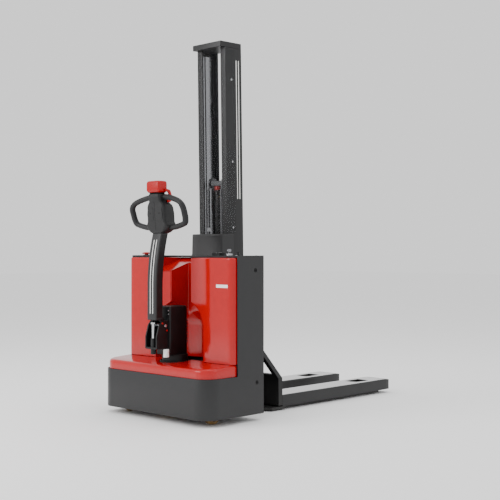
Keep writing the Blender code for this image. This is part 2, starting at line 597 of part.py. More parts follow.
def build_carriage(machine, mast):
    """The carriage on its rollers, the A-shaped fork frame and the forks."""
    lift = group("carriage_slide", (0, CYLINDER_Y, CARRIAGE_FOOT), mast)
    frame_y = FRAME_FRONT - MAST_FRONT + 0.0020
    right = [(CARRIAGE_HALF, 0.052), (CARRIAGE_HALF, frame_y - GAP), (0.0, frame_y - GAP)]
    inner = [(0.0, frame_y - GAP - 0.030), (CARRIAGE_HALF - CHEEK, frame_y - GAP - 0.030),
             (CARRIAGE_HALF - CHEEK, 0.052)]
    outline = right[:2] + [(-x, y) for x, y in reversed(right[:2])] + [(-x, y) for x, y in reversed(inner[1:])]
    outline += inner[1:]
    body = add("carriage", prism(outline, CARRIAGE_FOOT, CARRIAGE_TOP), "dark_paint", lift)
    inside = CARRIAGE_HALF - CHEEK + 0.001
    combine(body, box((-inside, 0.128, CARRIAGE_TOP - 0.075), (inside, 0.152, CARRIAGE_TOP - 0.008)), "UNION")
    for side in (-1, 1):
        x0, x1 = sorted((side * (CARRIAGE_HALF - 0.004), side * (CARRIAGE_HALF + 0.032)))
        stub = [(0, x0), (0.0100, x0), (0.0100, x1), (0, x1)]
        combine(body, turned(stub, (0, front_roller_y(), ROLLER_Z), "X", 16), "UNION")
    for side, name in ((-1, "left"), (1, "right")):
        middle = side * (CARRIAGE_HALF + 0.003 + ROLLER_WIDTH / 2)
        axis = group("roller_axis_" + name, (middle, front_roller_y(), ROLLER_Z), lift)
        w = ROLLER_WIDTH / 2
        r = ROLLER_RADIUS
        profile = [(0.0103, -w), (r - 0.002, -w), (r, -w + 0.002), (r, w - 0.002), (r - 0.002, w), (0.0103, w)]
        add("carriage_roller_" + name, turned(profile, (middle, front_roller_y(), ROLLER_Z), "X", 28),
            "bright_steel", axis)

    slope_x = FORK_SPREAD - CARRIAGE_HALF - 0.045
    outer = [(FORK_SPREAD, 0.0235), (FORK_SPREAD, FRAME_SHOULDER), (FORK_SPREAD - slope_x, FRAME_TOP)]
    frame = add("fork_frame", prism(mirrored(outer), frame_y, frame_y + FRAME_DEPTH, "Y"), "dark_paint", lift)
    run = Vector((-slope_x, FRAME_TOP - FRAME_SHOULDER)).normalized()
    normal = Vector((-run.y, run.x)) * -1
    foot = Vector((FORK_SPREAD, FRAME_SHOULDER)) - normal * FRAME_BAR
    reach_low = (CROSS_TOP - foot.y) / run.y
    corner = foot + run * reach_low
    post = CARRIAGE_HALF + 0.012
    reach_high = (WINDOW_TOP - foot.y) / run.y
    peak = foot + run * reach_high
    for side in (-1, 1):
        window = [(side * corner.x, corner.y), (side * peak.x, peak.y), (side * post, WINDOW_TOP),
                  (side * post, CROSS_TOP)]
        combine(frame, prism(window, frame_y - 0.05, frame_y + FRAME_DEPTH + 0.05, "Y"))
    bevel(frame, 0.0015)

    low = group("fork_carrier", (0, 0, 0), machine)
    for side, name in ((-1, "left"), (1, "right")):
        build_fork("fork_" + name, side, low)
    return lift


def front_roller_y():
    """Centre of the channel's inside, where the rollers run."""
    return (CHANNEL_SETBACK + CAP_DEPTH) / 2


def build_fork(name, side, parent):
    """One fork: an inverted channel with a closed tip and an opening for the load wheel."""
    rear = FRAME_FRONT + FRAME_DEPTH + 0.0016
    x_out = side * FORK_SPREAD
    x_in = side * (FORK_SPREAD - FORK_WIDTH)
    low_x, high_x = sorted((x_out, x_in))
    tip = LENGTH
    taper = 0.030
    plan = [(low_x, rear), (high_x, rear), (high_x, tip - taper), (high_x - 0.012, tip), (low_x + 0.012, tip),
            (low_x, tip - taper)]
    fork = add(name, prism(plan, FORK_BOTTOM, FORK_TOP), "grey_paint", parent)
    combine(fork, box((low_x + FORK_WALL, rear - 0.02, FORK_BOTTOM - 0.01),
                      (high_x - FORK_WALL, tip - taper, FORK_TOP - FORK_WALL)))
    middle = (low_x + high_x) / 2
    combine(fork, box((middle - OPENING_HALF, OPENING_NEAR, FORK_TOP - 0.03),
                      (middle + OPENING_HALF, OPENING_FAR, FORK_TOP + 0.03)))
    bevel(fork, 0.002)


def build_legs(machine):
    """The straddle legs under the forks, one weldment with the plate at the mast's foot."""
    middle = FORK_SPREAD - FORK_WIDTH / 2
    rear = FRAME_FRONT + FRAME_DEPTH + 0.030
    wide = CAP_HALF + 0.0473
    right = [(wide, BODY_REAR + GAP), (wide, FRAME_FRONT - 0.1284), (FORK_SPREAD - 0.002, FRAME_FRONT - 0.0484), (FORK_SPREAD - 0.002, rear),
             (middle + LEG_HALF, rear), (middle + LEG_HALF, LEG_TIP), (middle - LEG_HALF, LEG_TIP),
             (middle - LEG_HALF, rear)]
    legs = add("straddle_legs", prism(mirrored(right), LEG_BOTTOM - 0.005, LEG_BOTTOM + BASE_PLATE - 0.0025),
               "dark_paint", machine)
    for side in (-1, 1):
        beam = box((side * middle - LEG_HALF, rear, LEG_BOTTOM), (side * middle + LEG_HALF, LEG_TIP, LEG_TOP))
        combine(legs, beam, "UNION")
    foot = box((0.005 - wide, BODY_REAR + GAP, LEG_BOTTOM), (wide - 0.005, FRAME_FRONT - 0.0624, MAST_FOOT - 0.003))
    combine(legs, foot, "UNION")
    for side in (-1, 1):
        slot = box((side * middle - LOAD_WIDTH / 2 - 0.004, LOAD_Y - LOAD_RADIUS - 0.008, -0.02),
                   (side * middle + LOAD_WIDTH / 2 + 0.004, LOAD_Y + LOAD_RADIUS + 0.008, 0.12))
        combine(legs, slot)
    for side in (-1, 1):
        span = LEG_HALF - 0.010
        axle = [(0, -span), (AXLE_RADIUS, -span), (AXLE_RADIUS, span), (0, span)]
        combine(legs, turned(axle, (side * middle, LOAD_Y, LOAD_RADIUS), "X", 16), "UNION")
    for side, name in ((-1, "left"), (1, "right")):
        axis = group("load_axis_" + name, (side * middle, LOAD_Y, LOAD_RADIUS), machine)
        w, r = LOAD_WIDTH / 2, LOAD_RADIUS
        tread = [(AXLE_RADIUS + 0.0004, -w), (r - 0.003, -w), (r, -w + 0.003), (r, w - 0.003), (r - 0.003, w),
                 (AXLE_RADIUS + 0.0004, w)]
        add("load_wheel_" + name, turned(tread, (side * middle, LOAD_Y, LOAD_RADIUS), "X", 32), "polyurethane", axis)


# ---------------------------------------------------------------- drive unit and tiller
def build_drive(machine):
    """The swivelling drive unit: gearbox and wheel below, head housing and bracket above."""
    steer = group("steer_axis", (0, STEER_Y, 0), machine)
    collar = [(0, 0.2145), (COLLAR_RADIUS, 0.2145), (COLLAR_RADIUS, HEAD_FOOT - GAP), (0, HEAD_FOOT - GAP)]
    gearbox = add("drive_gearbox", turned(collar, (0, STEER_Y, 0), sides=32), "cast_grey", steer)
    combine(gearbox, box((WHEEL_WIDTH / 2 + 0.005, STEER_Y - 0.052, 0.060), (COLLAR_RADIUS - 0.002, STEER_Y + 0.052, 0.222)), "UNION")
    hub = [(0, 0.001 - WHEEL_WIDTH / 2), (0.016, 0.001 - WHEEL_WIDTH / 2), (0.016, WHEEL_WIDTH / 2 + 0.015),
           (0, WHEEL_WIDTH / 2 + 0.015)]
    combine(gearbox, turned(hub, (0, STEER_Y, WHEEL_RADIUS), "X", 20), "UNION")
    spin = group("drive_wheel_axis", (0, STEER_Y, WHEEL_RADIUS), steer)
    w, r = WHEEL_WIDTH / 2, WHEEL_RADIUS
    tyre = [(0.0164, -w), (0.050, -w), (0.054, -w + 0.010), (r - 0.025, -w + 0.010), (r - 0.021, -w), (r - 0.006, -w),
            (r, -w + 0.006), (r, w - 0.006), (r - 0.006, w), (0.0164, w)]
    add("drive_wheel", turned(tyre, (0, STEER_Y, WHEEL_RADIUS), "X", 40), "polyurethane", spin)

    outline = rounded_outline(HEAD_HALF, HEAD_FRONT, HEAD_REAR, 0.008, 0.036, steps=4)
    housing = add("drive_cover", prism(outline, HEAD_FOOT, HEAD_TOP), "black_plastic", steer)
    bevel(housing, 0.006, 2)
    cheek = ARM_HALF + 0.002
    bracket_plan = [(HEAD_HALF - 0.001, HEAD_FRONT - GAP), (HEAD_HALF - 0.001, HEAD_FRONT - 0.012),
                    (cheek + 0.0095, HEAD_FRONT - 0.018), (cheek + 0.0095, 0.0), (cheek, 0.0),
                    (cheek, HEAD_FRONT - 0.0045), (0.0, HEAD_FRONT - 0.0045)]
    plan = bracket_plan + [(-x, y) for x, y in reversed(bracket_plan[:-1])]
    bracket = add("tiller_bracket", prism(plan, 0.372, 0.524), "black_plastic", steer)
    shelf = box((-cheek - 0.002, 0.0, 0.372), (cheek + 0.002, HEAD_FRONT - 0.002, 0.3835))
    combine(bracket, shelf, "UNION")
    clear = [(0, 0.36), (0.0150 + GAP, 0.36), (0.0150 + GAP, 0.40), (0, 0.40)]
    combine(bracket, turned(clear, (0, SPRING_Y, 0), sides=16))
    bore = [(0, -0.06), (PIN_RADIUS + GAP, -0.06), (PIN_RADIUS + GAP, 0.06), (0, 0.06)]
    combine(bracket, turned(bore, (0, PIVOT_Y, PIVOT_Z), "X", 16))

    body = [(0, 0.3450), (0.0150, 0.3450), (0.0150, 0.4300), (0.0096, 0.4300), (0.0096, 0.3480), (0, 0.3480)]
    add("gas_spring_body", turned(body, (0, SPRING_Y, 0), sides=16), "black_plastic", steer)
    slide = group("spring_slide", (0, SPRING_Y, 0.430), steer)
    rod = [(0, 0.4200), (0.0090, 0.4200), (0.0090, 0.5030), (0.0140, 0.5040), (0.0140, 0.5130), (0, 0.5140)]
    add("gas_spring_rod", turned(rod, (0, SPRING_Y, 0), sides=16), "bright_steel", slide)
    return steer


def arm_centre(height):
    """Y of the arm's centre line: straight, then bowed towards the mast."""
    rise = max(0.0, height - ARM_BEND)
    return ARM_Y + ARM_RADIUS - math.sqrt(ARM_RADIUS ** 2 - rise ** 2)


def build_tiller(steer):
    """The tiller arm on its pin, with the handle head and its controls."""
    tilt = group("tilt_axis", (0, PIVOT_Y, PIVOT_Z), steer)
    heights = [ARM_FOOT, ARM_BEND] + [ARM_BEND + (ARM_TOP - ARM_BEND) * i / 6 for i in range(1, 7)]
    edge = 0.006
    rings = []
    for z in heights:
        y = arm_centre(z)
        d = ARM_DEPTH / 2
        corners = [(ARM_HALF - edge, -d), (ARM_HALF, -d + edge), (ARM_HALF, d - edge), (ARM_HALF - edge, d)]
        rings.append([(x, y + dy, z) for x, dy in corners + [(-a, b) for a, b in reversed(corners)]])
    arm = add("tiller_arm", loft(rings), "grey_paint", tilt)
    shrink = 1 - ARM_WALL / ARM_HALF
    hollow = [[(x * shrink, arm_centre(p) + (y - arm_centre(p)) * (1 - 2 * ARM_WALL / ARM_DEPTH), z)
               for x, y, p in ring] for ring, z in zip(rings, [ARM_FOOT - 0.01, *heights[1:-1], ARM_TOP - ARM_WALL])]
    combine(arm, loft(hollow))
    for side in (-1, 1):
        x0, x1 = sorted((side * (ARM_HALF - 0.0090), side * (ARM_HALF - 0.0005)))
        cheek = [(PIVOT_Y - 0.032, PIVOT_Z + 0.050), (PIVOT_Y - 0.018, PIVOT_Z), (PIVOT_Y - 0.0140, PIVOT_Z - 0.0115),
                 (PIVOT_Y - 0.002, PIVOT_Z - 0.018), (PIVOT_Y + 0.012, PIVOT_Z - 0.0115), (PIVOT_Y + 0.0178, PIVOT_Z),
                 (PIVOT_Y + 0.014, PIVOT_Z + 0.012), (PIVOT_Y - 0.0075, PIVOT_Z + 0.050)]
        combine(arm, prism(cheek, x0, x1, "X"), "UNION")
    bore = [(0, -0.06), (PIN_RADIUS + GAP, -0.06), (PIN_RADIUS + GAP, 0.06), (0, 0.06)]
    combine(arm, turned(bore, (0, PIVOT_Y, PIVOT_Z), "X", 16))
    reach = ARM_HALF + 0.0165
    pin = [(0, -reach), (PIN_RADIUS, -reach), (PIN_RADIUS, reach), (0, reach)]
    add("tiller_pivot_pin", turned(pin, (0, PIVOT_Y, PIVOT_Z), "X", 16), "bright_steel", steer)
    build_head(tilt)


def head_ring(half, front, rear, level, lean, corner=0.014):
    """One level of the handle shell: a rectangle with rounded corners."""
    corner = min(corner, half * 0.45)
    outline = rounded_outline(half, front, rear, corner, corner, steps=3)
    return [(x, y, level + lean * (y - front)) for x, y in outline]


def build_head(tilt):
    """Handle shell, loops, belly button, thumb paddles and the lift rocker."""
    levels = [
        (0.042, 0.040, 0.098, ARM_TOP + GAP, 0.0), (0.066, 0.037, 0.108, 1.002, 0.0),
        (0.084, 0.034, 0.117, 1.024, 0.0), (0.084, 0.033, 0.118, 1.034, 0.0), (0.073, 0.031, 0.117, 1.040, 0.0),
        (SHELL_HALF, 0.028, 0.115, 1.090, 0.0), (0.070, 0.026, 0.108, 1.128, 0.0), (0.062, 0.025, 0.102, 1.142, 0.0),
        (0.050, 0.022, 0.094, 1.150, 0.0), (0.045, 0.018, 0.084, 1.168, 0.0), (0.044, 0.015, 0.080, NECK_TOP, 0.0)]
    shell = add("handle_shell", loft([head_ring(*level) for level in levels]), "black_plastic", tilt)
    shaft = [(0, -0.10), (0.0066, -0.10), (0.0066, 0.10), (0, 0.10)]
    combine(shell, turned(shaft, (0, PADDLE_Y, PADDLE_Z), "X", 12))
    for side, name in ((-1, "left"), (1, "right")):
        places = [(0.0525, 0.054, 1.1770), (0.094, 0.052, 1.1720), (0.150, 0.047, 1.1580), (0.186, 0.043, 1.1420),
                  (0.204, 0.045, 1.1180), (0.206, 0.055, 1.0860), (0.203, 0.064, 1.0560), (0.188, 0.071, 1.0350),
                  (0.126, 0.074, 1.0190), (0.0868, 0.076, 1.0150)]
        route = smooth_route([(side * x, y, z) for x, y, z in places], 3)
        tube("handle_loop_" + name, route, LOOP_RADIUS, "black_plastic", tilt)

    foot = NECK_TOP + CAP_GAP
    press = group("belly_axis", (0, 0.042, foot), tilt)
    rings = [head_ring(0.048, 0.016, 0.073, foot, 0.0, 0.010), head_ring(0.053, 0.009, 0.075, foot + 0.012, 0.0),
             head_ring(0.053, 0.009, 0.075, BUTTON_TOP - 0.012, 0.0), head_ring(0.047, 0.015, 0.071, BUTTON_TOP, 0.0)]
    button = add("belly_button", loft(rings), "red_plastic", press)
    bevel(button, 0.002)

    thumb = group("paddle_axis", (0, PADDLE_Y, PADDLE_Z), tilt)
    shaft = [(0, -0.062), (0.0060, -0.062), (0.0060, 0.062), (0, 0.062)]
    paddles = add("thumb_paddles", turned(shaft, (0, PADDLE_Y, PADDLE_Z), "X", 12), "red_plastic", thumb)
    for side in (-1, 1):
        x0, x1 = sorted((side * 0.0570, side * 0.0690))
        outline = [(0.063, 1.149), (0.074, 1.148), (0.087, 1.154), (0.090, 1.185), (0.078, 1.214), (0.050, 1.220),
                   (0.047, 1.208), (0.068, 1.201), (0.0765, 1.180), (0.073, 1.163), (0.063, 1.160)]
        combine(paddles, prism(outline, x0, x1, "X"), "UNION")
    rocker = group("rocker_axis", (0, 0.1170, 1.076), tilt)
    outline = [(0.1190, 1.056), (0.1250, 1.058), (0.1215, 1.076), (0.1250, 1.094), (0.1190, 1.096)]
    add("lift_rocker", prism(outline, -0.020, 0.020, "X"), "black_plastic", rocker)


def build_casters(machine):
    """Two swivel casters beside the drive wheel."""
    for side, name in ((-1, "left"), (1, "right")):
        x = side * CASTER_X
        swivel = group("caster_swivel_" + name, (x, CASTER_Y, 0), machine)
        plate = [(0, 0.1080), (0.030, 0.1080), (0.030, 0.1180), (0.016, 0.1190), (0.016, BRIDGE_TOP - BRIDGE_THICK
                 - GAP), (0, BRIDGE_TOP - BRIDGE_THICK - GAP)]
        yoke = add("caster_yoke_" + name, turned(plate, (x, CASTER_Y, 0), sides=20), "dark_steel", swivel)
        axle_y = CASTER_Y + CASTER_TRAIL
        for wing in (-1, 1):
            x0, x1 = sorted((x + wing * (CASTER_WIDTH / 2 + 0.002), x + wing * (CASTER_WIDTH / 2 + 0.006)))
            cheek = [(CASTER_Y - 0.020, 0.1120), (axle_y - 0.012, 0.042), (axle_y + 0.012, 0.042),
                     (CASTER_Y + 0.026, 0.1120)]
            combine(yoke, prism(cheek, x0, x1, "X"), "UNION")
        span = CASTER_WIDTH / 2 + 0.004
        axle = [(0, -span), (0.006, -span), (0.006, span), (0, span)]
        combine(yoke, turned(axle, (x, axle_y, CASTER_RADIUS), "X", 12), "UNION")
        spin = group("caster_axis_" + name, (x, axle_y, CASTER_RADIUS), swivel)
        w, r = CASTER_WIDTH / 2, CASTER_RADIUS
        tyre = [(0.0064, -w), (r - 0.004, -w), (r, -w + 0.004), (r, w - 0.004), (r - 0.004, w), (0.0064, w)]
        add("caster_wheel_" + name, turned(tyre, (x, axle_y, CASTER_RADIUS), "X", 28), "polyurethane", spin)


def main():
    """Build the whole machine."""
    clear_scene()
    make_materials()
    machine = group("machine", (0, 0, 0))
    build_body(machine)
    mast = build_mast(machine)
    build_rod(mast)
    build_carriage(machine, mast)
    build_legs(machine)
    steer = build_drive(machine)
    build_tiller(steer)
    build_casters(machine)
    machine.location = (0, -LENGTH / 2, 0)
    bpy.context.view_layer.update()


main()
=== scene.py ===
"""Walkie stacker in a pale studio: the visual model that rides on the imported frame.

Lengths are in metres. Y is measured from the front face of the skirt, on the operator's side,
towards the fork tips, and every mesh is shifted by half the machine's length when it is made.
"""
import logging
import math
from dataclasses import dataclass, field
from enum import Enum
from typing import ClassVar, Iterable, Optional, Sequence

import bmesh
import bpy
import numpy as np
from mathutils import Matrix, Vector


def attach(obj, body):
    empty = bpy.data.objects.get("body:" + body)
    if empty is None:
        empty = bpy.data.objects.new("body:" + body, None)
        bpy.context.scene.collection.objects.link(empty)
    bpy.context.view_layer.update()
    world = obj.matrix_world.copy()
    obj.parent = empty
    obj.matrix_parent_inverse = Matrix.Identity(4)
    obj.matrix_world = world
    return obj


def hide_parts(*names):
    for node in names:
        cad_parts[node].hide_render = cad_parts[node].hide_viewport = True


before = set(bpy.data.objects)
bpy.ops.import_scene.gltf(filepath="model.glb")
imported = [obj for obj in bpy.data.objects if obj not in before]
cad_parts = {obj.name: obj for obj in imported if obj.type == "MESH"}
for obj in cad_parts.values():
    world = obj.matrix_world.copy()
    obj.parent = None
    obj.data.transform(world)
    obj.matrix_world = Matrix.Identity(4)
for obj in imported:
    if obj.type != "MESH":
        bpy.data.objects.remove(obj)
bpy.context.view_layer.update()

logging.basicConfig(level=logging.INFO, format="%(message)s")
log = logging.getLogger("stacker")

LENGTH = 1.724
WIDTH = 0.853
MAST_Y = 0.4386
MAST_LEAN = math.radians(0.96)
GAP = 0.0003                    # clearance between pieces that touch
FILM = 0.0003                   # thickness of a printed film
BEVEL_ANGLE = math.radians(40)  # edges sharper than this are rounded
SIDES = ((-1, "left"), (1, "right"))
Point = Sequence[float]
Outline = list[tuple[float, float]]
PRISM_AXES = {"X": (2, 0, 1), "Y": (0, 2, 1), "Z": (0, 1, 2)}
TURNED_AXES = {"Z": (0, 1, 2), "X": (2, 0, 1), "Y": (1, 2, 0)}


# ---------------------------------------------------------------- finishes
class Detail(Enum):
    """Which small-scale surface a finish has."""

    POWDER = "powder"      # fine orange peel of a powder coat
    GLOSS = "gloss"        # moulded gloss plastic, faint waviness
    GRAIN = "grain"        # moulded grain of matt plastic
    BRUSHED = "brushed"    # fine lines along one axis
    CAST = "cast"          # sand-cast roughness
    SOFT = "soft"          # rubber and polyurethane
    CLEAR = "clear"        # clear sheet
    PRINT = "print"        # printed film


COAT_ROUGHNESS = 0.04
BROAD_SCALE = 9.0        # slow change of roughness and dust, about every 0.1 m
DUST_TOP = 0.22          # above this height there is no dust
DUST_FULL = 0.02         # below this height the dust is full
DUST_COLOUR = "#84837f"
ROUGHNESS_SPREAD = {Detail.GLOSS: 0.10, Detail.CLEAR: 0.15, Detail.BRUSHED: 0.45}


@dataclass(frozen=True)
class Finish:
    """One real surface finish.

    Args:
        name: the real material, used as the Blender material's name.
        colour: sRGB hex of the base colour.
        roughness: mean roughness.
        metallic: 1 for bare metal.
        detail: the small-scale surface.
        size: size of that detail in metres.
        depth: bump depth in metres.
        coat: clear-coat weight.
        alpha: opacity.
        dust: how much pale dust lies on it near the floor.
        specular: strength of the surface reflection of paint or plastic.
    """

    name: str
    colour: str
    roughness: float
    metallic: float = 0.0
    detail: Detail = Detail.GRAIN
    size: float = 0.0012
    depth: float = 0.00003
    coat: float = 0.0
    alpha: float = 1.0
    dust: float = 0.0
    specular: float = 0.3


def linear(hex_colour: str) -> tuple[float, float, float, float]:
    """Convert an sRGB hex colour to linear RGBA.

    Args:
        hex_colour: six hex digits after a hash.

    Returns:
        Linear red, green, blue and alpha 1.
    """
    parts = [int(hex_colour[i:i + 2], 16) / 255 for i in (1, 3, 5)]
    low = [p / 12.92 if p <= 0.04045 else ((p + 0.055) / 1.055) ** 2.4 for p in parts]
    return (low[0], low[1], low[2], 1.0)


class Paint:
    """Builds and keeps one node material for each finish."""

    def __init__(self) -> None:
        """Start with no materials made."""
        self.made: dict[str, bpy.types.Material] = {}

    def get(self, finish: Finish) -> bpy.types.Material:
        """Return the finish's material, building it the first time.

        Args:
            finish: the finish.

        Returns:
            Its material.
        """
        if finish.name not in self.made:
            self.made[finish.name] = self.build(finish)
        return self.made[finish.name]

    @staticmethod
    def node(tree: bpy.types.NodeTree, kind: str, **values: object) -> bpy.types.Node:
        """Add a node and set its sockets by name, or by index as _0, _1.
        Args:
            tree: the material's node tree.
            kind: the node's type.
            values: socket values; a socket value may be another node's output.
        Returns:
            The new node.
        """
        made = tree.nodes.new(kind)
        for key, value in values.items():
            socket = made.inputs[int(key[1:])] if key[0] == "_" else made.inputs[key.replace("_", " ")]
            if isinstance(value, bpy.types.NodeSocket):
                tree.links.new(value, socket)
            else:
                socket.default_value = value
        return made

    def build(self, finish: Finish) -> bpy.types.Material:
        """Make the node material of a finish, with detail at its real size.

        Args:
            finish: the finish.

        Returns:
            The new material.
        """
        material = bpy.data.materials.new(finish.name)
        material.use_nodes = True
        tree = material.node_tree
        shader = tree.nodes["Principled BSDF"]
        shader.inputs["Metallic"].default_value = finish.metallic
        shader.inputs["Coat Weight"].default_value = finish.coat
        shader.inputs["Coat Roughness"].default_value = COAT_ROUGHNESS
        shader.inputs["Alpha"].default_value = finish.alpha
        if not finish.metallic:
            shader.inputs["Specular IOR Level"].default_value = finish.specular
        place = self.node(tree, "ShaderNodeTexCoord").outputs["Object"]
        stretch = (1.0, 1.0, 0.04) if finish.detail is Detail.BRUSHED else (1.0, 1.0, 1.0)
        mapping = self.node(tree, "ShaderNodeMapping", Vector=place, Scale=stretch).outputs[0]
        fine = self.node(tree, "ShaderNodeTexNoise", Vector=mapping, Scale=1 / finish.size, Detail=3.0,
                         Roughness=0.55).outputs[0]
        broad = self.node(tree, "ShaderNodeTexNoise", Vector=place, Scale=BROAD_SCALE, Detail=4.0,
                          Roughness=0.6).outputs[0]
        spread = ROUGHNESS_SPREAD.get(finish.detail, 0.22)
        rough = self.node(tree, "ShaderNodeMapRange", Value=broad, _1=0.3, _2=0.7,
                          _3=finish.roughness * (1 - spread), _4=finish.roughness * (1 + spread)).outputs[0]
        tree.links.new(rough, shader.inputs["Roughness"])
        base = linear(finish.colour)
        shade = self.node(tree, "ShaderNodeMapRange", Value=fine, _1=0.25, _2=0.75, _3=0.94, _4=1.06).outputs[0]
        tint = self.node(tree, "ShaderNodeVectorMath", _0=base[:3])
        tint.operation = "SCALE"
        tree.links.new(shade, tint.inputs["Scale"])
        colour = tint.outputs[0]
        if finish.dust:
            height = self.node(tree, "ShaderNodeSeparateXYZ", _0=place).outputs[2]
            low = self.node(tree, "ShaderNodeMapRange", Value=height, _1=DUST_TOP, _2=DUST_FULL, _3=0.0,
                            _4=finish.dust).outputs[0]
            patchy = self.node(tree, "ShaderNodeMath", _0=low, _1=broad)
            patchy.operation = "MULTIPLY"
            mixed = self.node(tree, "ShaderNodeMix")
            mixed.data_type = "RGBA"
            tree.links.new(patchy.outputs[0], mixed.inputs[0])
            tree.links.new(colour, mixed.inputs[6])
            mixed.inputs[7].default_value = linear(DUST_COLOUR)
            colour = mixed.outputs[2]
        tree.links.new(colour, shader.inputs["Base Color"])
        bump = self.node(tree, "ShaderNodeBump", Height=fine, Distance=finish.depth, Strength=1.0).outputs[0]
        tree.links.new(bump, shader.inputs["Normal"])
        return material


# Powder-coated sheet steel of the chassis and covers
CHASSIS_GREY = Finish("powder_coat_grey", "#262627", 0.42, detail=Detail.POWDER, size=0.0016, depth=0.00002,
                      dust=0.06)
# Powder-coated mast channels, a little darker
MAST_GREY = Finish("powder_coat_mast", "#1e1e1f", 0.40, detail=Detail.POWDER, size=0.0016, depth=0.00002)
# Charcoal paint on the carriage and legs
CHARCOAL = Finish("paint_charcoal", "#121213", 0.5, detail=Detail.POWDER, size=0.002, depth=0.00004, dust=0.12)
# Powder-coated forks
FORK_GREY = Finish("powder_coat_forks", "#1e1e1f", 0.40, detail=Detail.POWDER, size=0.0016, depth=0.00002,
                   dust=0.05)
# Paler film over the fork tops: a painted sheen, lighter where the light falls on the top faces
FORK_TOP_SHEEN = Finish("fork_top_painted_sheen", "#454547", 0.10, detail=Detail.BRUSHED, size=0.002, depth=0.000004,
                  coat=1.0, specular=0.5)
# Gloss ABS mouldings of the deck and the upright
GLOSS_RED = Finish("abs_gloss_red", "#ae0206", 0.16, detail=Detail.GLOSS, size=0.03, depth=0.00002, coat=0.3)
# Red mouldings of the buttons
SIGNAL_RED = Finish("abs_red_buttons", "#a40508", 0.3, detail=Detail.GRAIN, size=0.0008, depth=0.00001)
# Grained black mouldings
BLACK_PLASTIC = Finish("abs_black_grained", "#0b0b0c", 0.42, detail=Detail.GRAIN, size=0.0009, depth=0.00003)
# Dark grey glass-filled nylon of the handle
HANDLE_GREY = Finish("nylon_handle", "#1c1c1d", 0.5, detail=Detail.GRAIN, size=0.001, depth=0.00003)
# Soft grips
GRIP = Finish("elastomer_grip", "#202022", 0.62, detail=Detail.SOFT, size=0.0007, depth=0.00004)
# Hard chrome
CHROME = Finish("hard_chrome", "#d9dadc", 0.09, 1.0, Detail.BRUSHED, 0.0005, 0.000004)
# Bright zinc-plated screws
ZINC = Finish("zinc_plate", "#b9babd", 0.28, 1.0, Detail.GRAIN, 0.0006, 0.00001)
# Oiled steel chains, sheaves and caster yokes
OILED_STEEL = Finish("steel_oiled", "#5a5a5c", 0.34, 1.0, Detail.BRUSHED, 0.0005, 0.00001)
# Ground steel rollers
GROUND_STEEL = Finish("steel_ground", "#8d8e91", 0.25, 1.0, Detail.BRUSHED, 0.0004, 0.000008)
# Black-painted cylinder barrel
BARREL_BLACK = Finish("paint_black_gloss", "#08080a", 0.3, detail=Detail.GLOSS, size=0.01, depth=0.00002)
# Dark red anodised gland
GLAND_RED = Finish("anodised_dark_red", "#6b1c1c", 0.32, 0.6, Detail.BRUSHED, 0.0005, 0.00001)
# Cast housings
CAST_GREY = Finish("casting_painted_grey", "#3c3d3f", 0.55, 0.2, Detail.CAST, 0.003, 0.00015)
# Clear polycarbonate guard
CLEAR = Finish("polycarbonate_clear", "#3c3e40", 0.20, detail=Detail.CLEAR, size=0.05, depth=0.00001,
               alpha=0.035)
# Amber polyurethane treads
AMBER_PU = Finish("polyurethane_amber", "#8a6420", 0.42, detail=Detail.SOFT, size=0.0015, depth=0.00003,
                  dust=0.35)
# Dark polyurethane treads of the load wheels
DARK_PU = Finish("polyurethane_dark", "#17140f", 0.5, detail=Detail.SOFT, size=0.0015, depth=0.00003)
# Black rubber hoses, seals and bellows
RUBBER = Finish("rubber_black", "#0a0a0b", 0.7, detail=Detail.SOFT, size=0.001, depth=0.00004)
# Printed films
PRINT_WHITE = Finish("film_white", "#f2f2f0", 0.4, detail=Detail.PRINT, size=0.004, depth=0.000004)
PRINT_GREY = Finish("film_grey", "#7c7d7f", 0.45, detail=Detail.PRINT, size=0.004, depth=0.000004)
# Battery cases
CASE_SLATE = Finish("polypropylene_slate", "#30363c", 0.5, detail=Detail.GRAIN, size=0.001, depth=0.00003)
# Brass terminals and fittings
BRASS = Finish("brass_fitting", "#b08d4a", 0.3, 1.0, Detail.GRAIN, 0.0006, 0.00001)
# Gauge window
LENS = Finish("acrylic_lens", "#11161a", 0.05, detail=Detail.CLEAR, size=0.05, depth=0.00001, coat=0.8)


# ---------------------------------------------------------------- shapes
class Space(Enum):
    """Whose coordinates a shape is written in."""

    MACHINE = "machine"
    MAST = "mast"


@dataclass
class Shape:
    """Points and faces of one mesh before it is placed."""

    points: np.ndarray
    faces: list[tuple[int, ...]] = field(default_factory=list)

    def __add__(self, other: "Shape") -> "Shape":
        """Both shapes in one mesh.

        Args:
            other: the shape to put after this one.

        Returns:
            The joined shape.
        """
        shift = len(self.points)
        faces = self.faces + [tuple(i + shift for i in f) for f in other.faces]
        return Shape(np.vstack([self.points, other.points]), faces)

    def moved(self, x: float = 0.0, y: float = 0.0, z: float = 0.0) -> "Shape":
        """The same shape shifted."""
        return Shape(self.points + np.array([x, y, z]), self.faces)

    def mirrored(self) -> "Shape":
        """The same shape on the other side of the middle plane."""
        return Shape(self.points * np.array([-1.0, 1.0, 1.0]), [tuple(reversed(f)) for f in self.faces])


def total(shapes: Iterable[Shape]) -> Shape:
    """Put several shapes into one mesh.

    Args:
        shapes: at least one shape.

    Returns:
        All their points and faces.
    """
    parts = list(shapes)
    whole = parts[0]
    for part in parts[1:]:
        whole = whole + part
    return whole


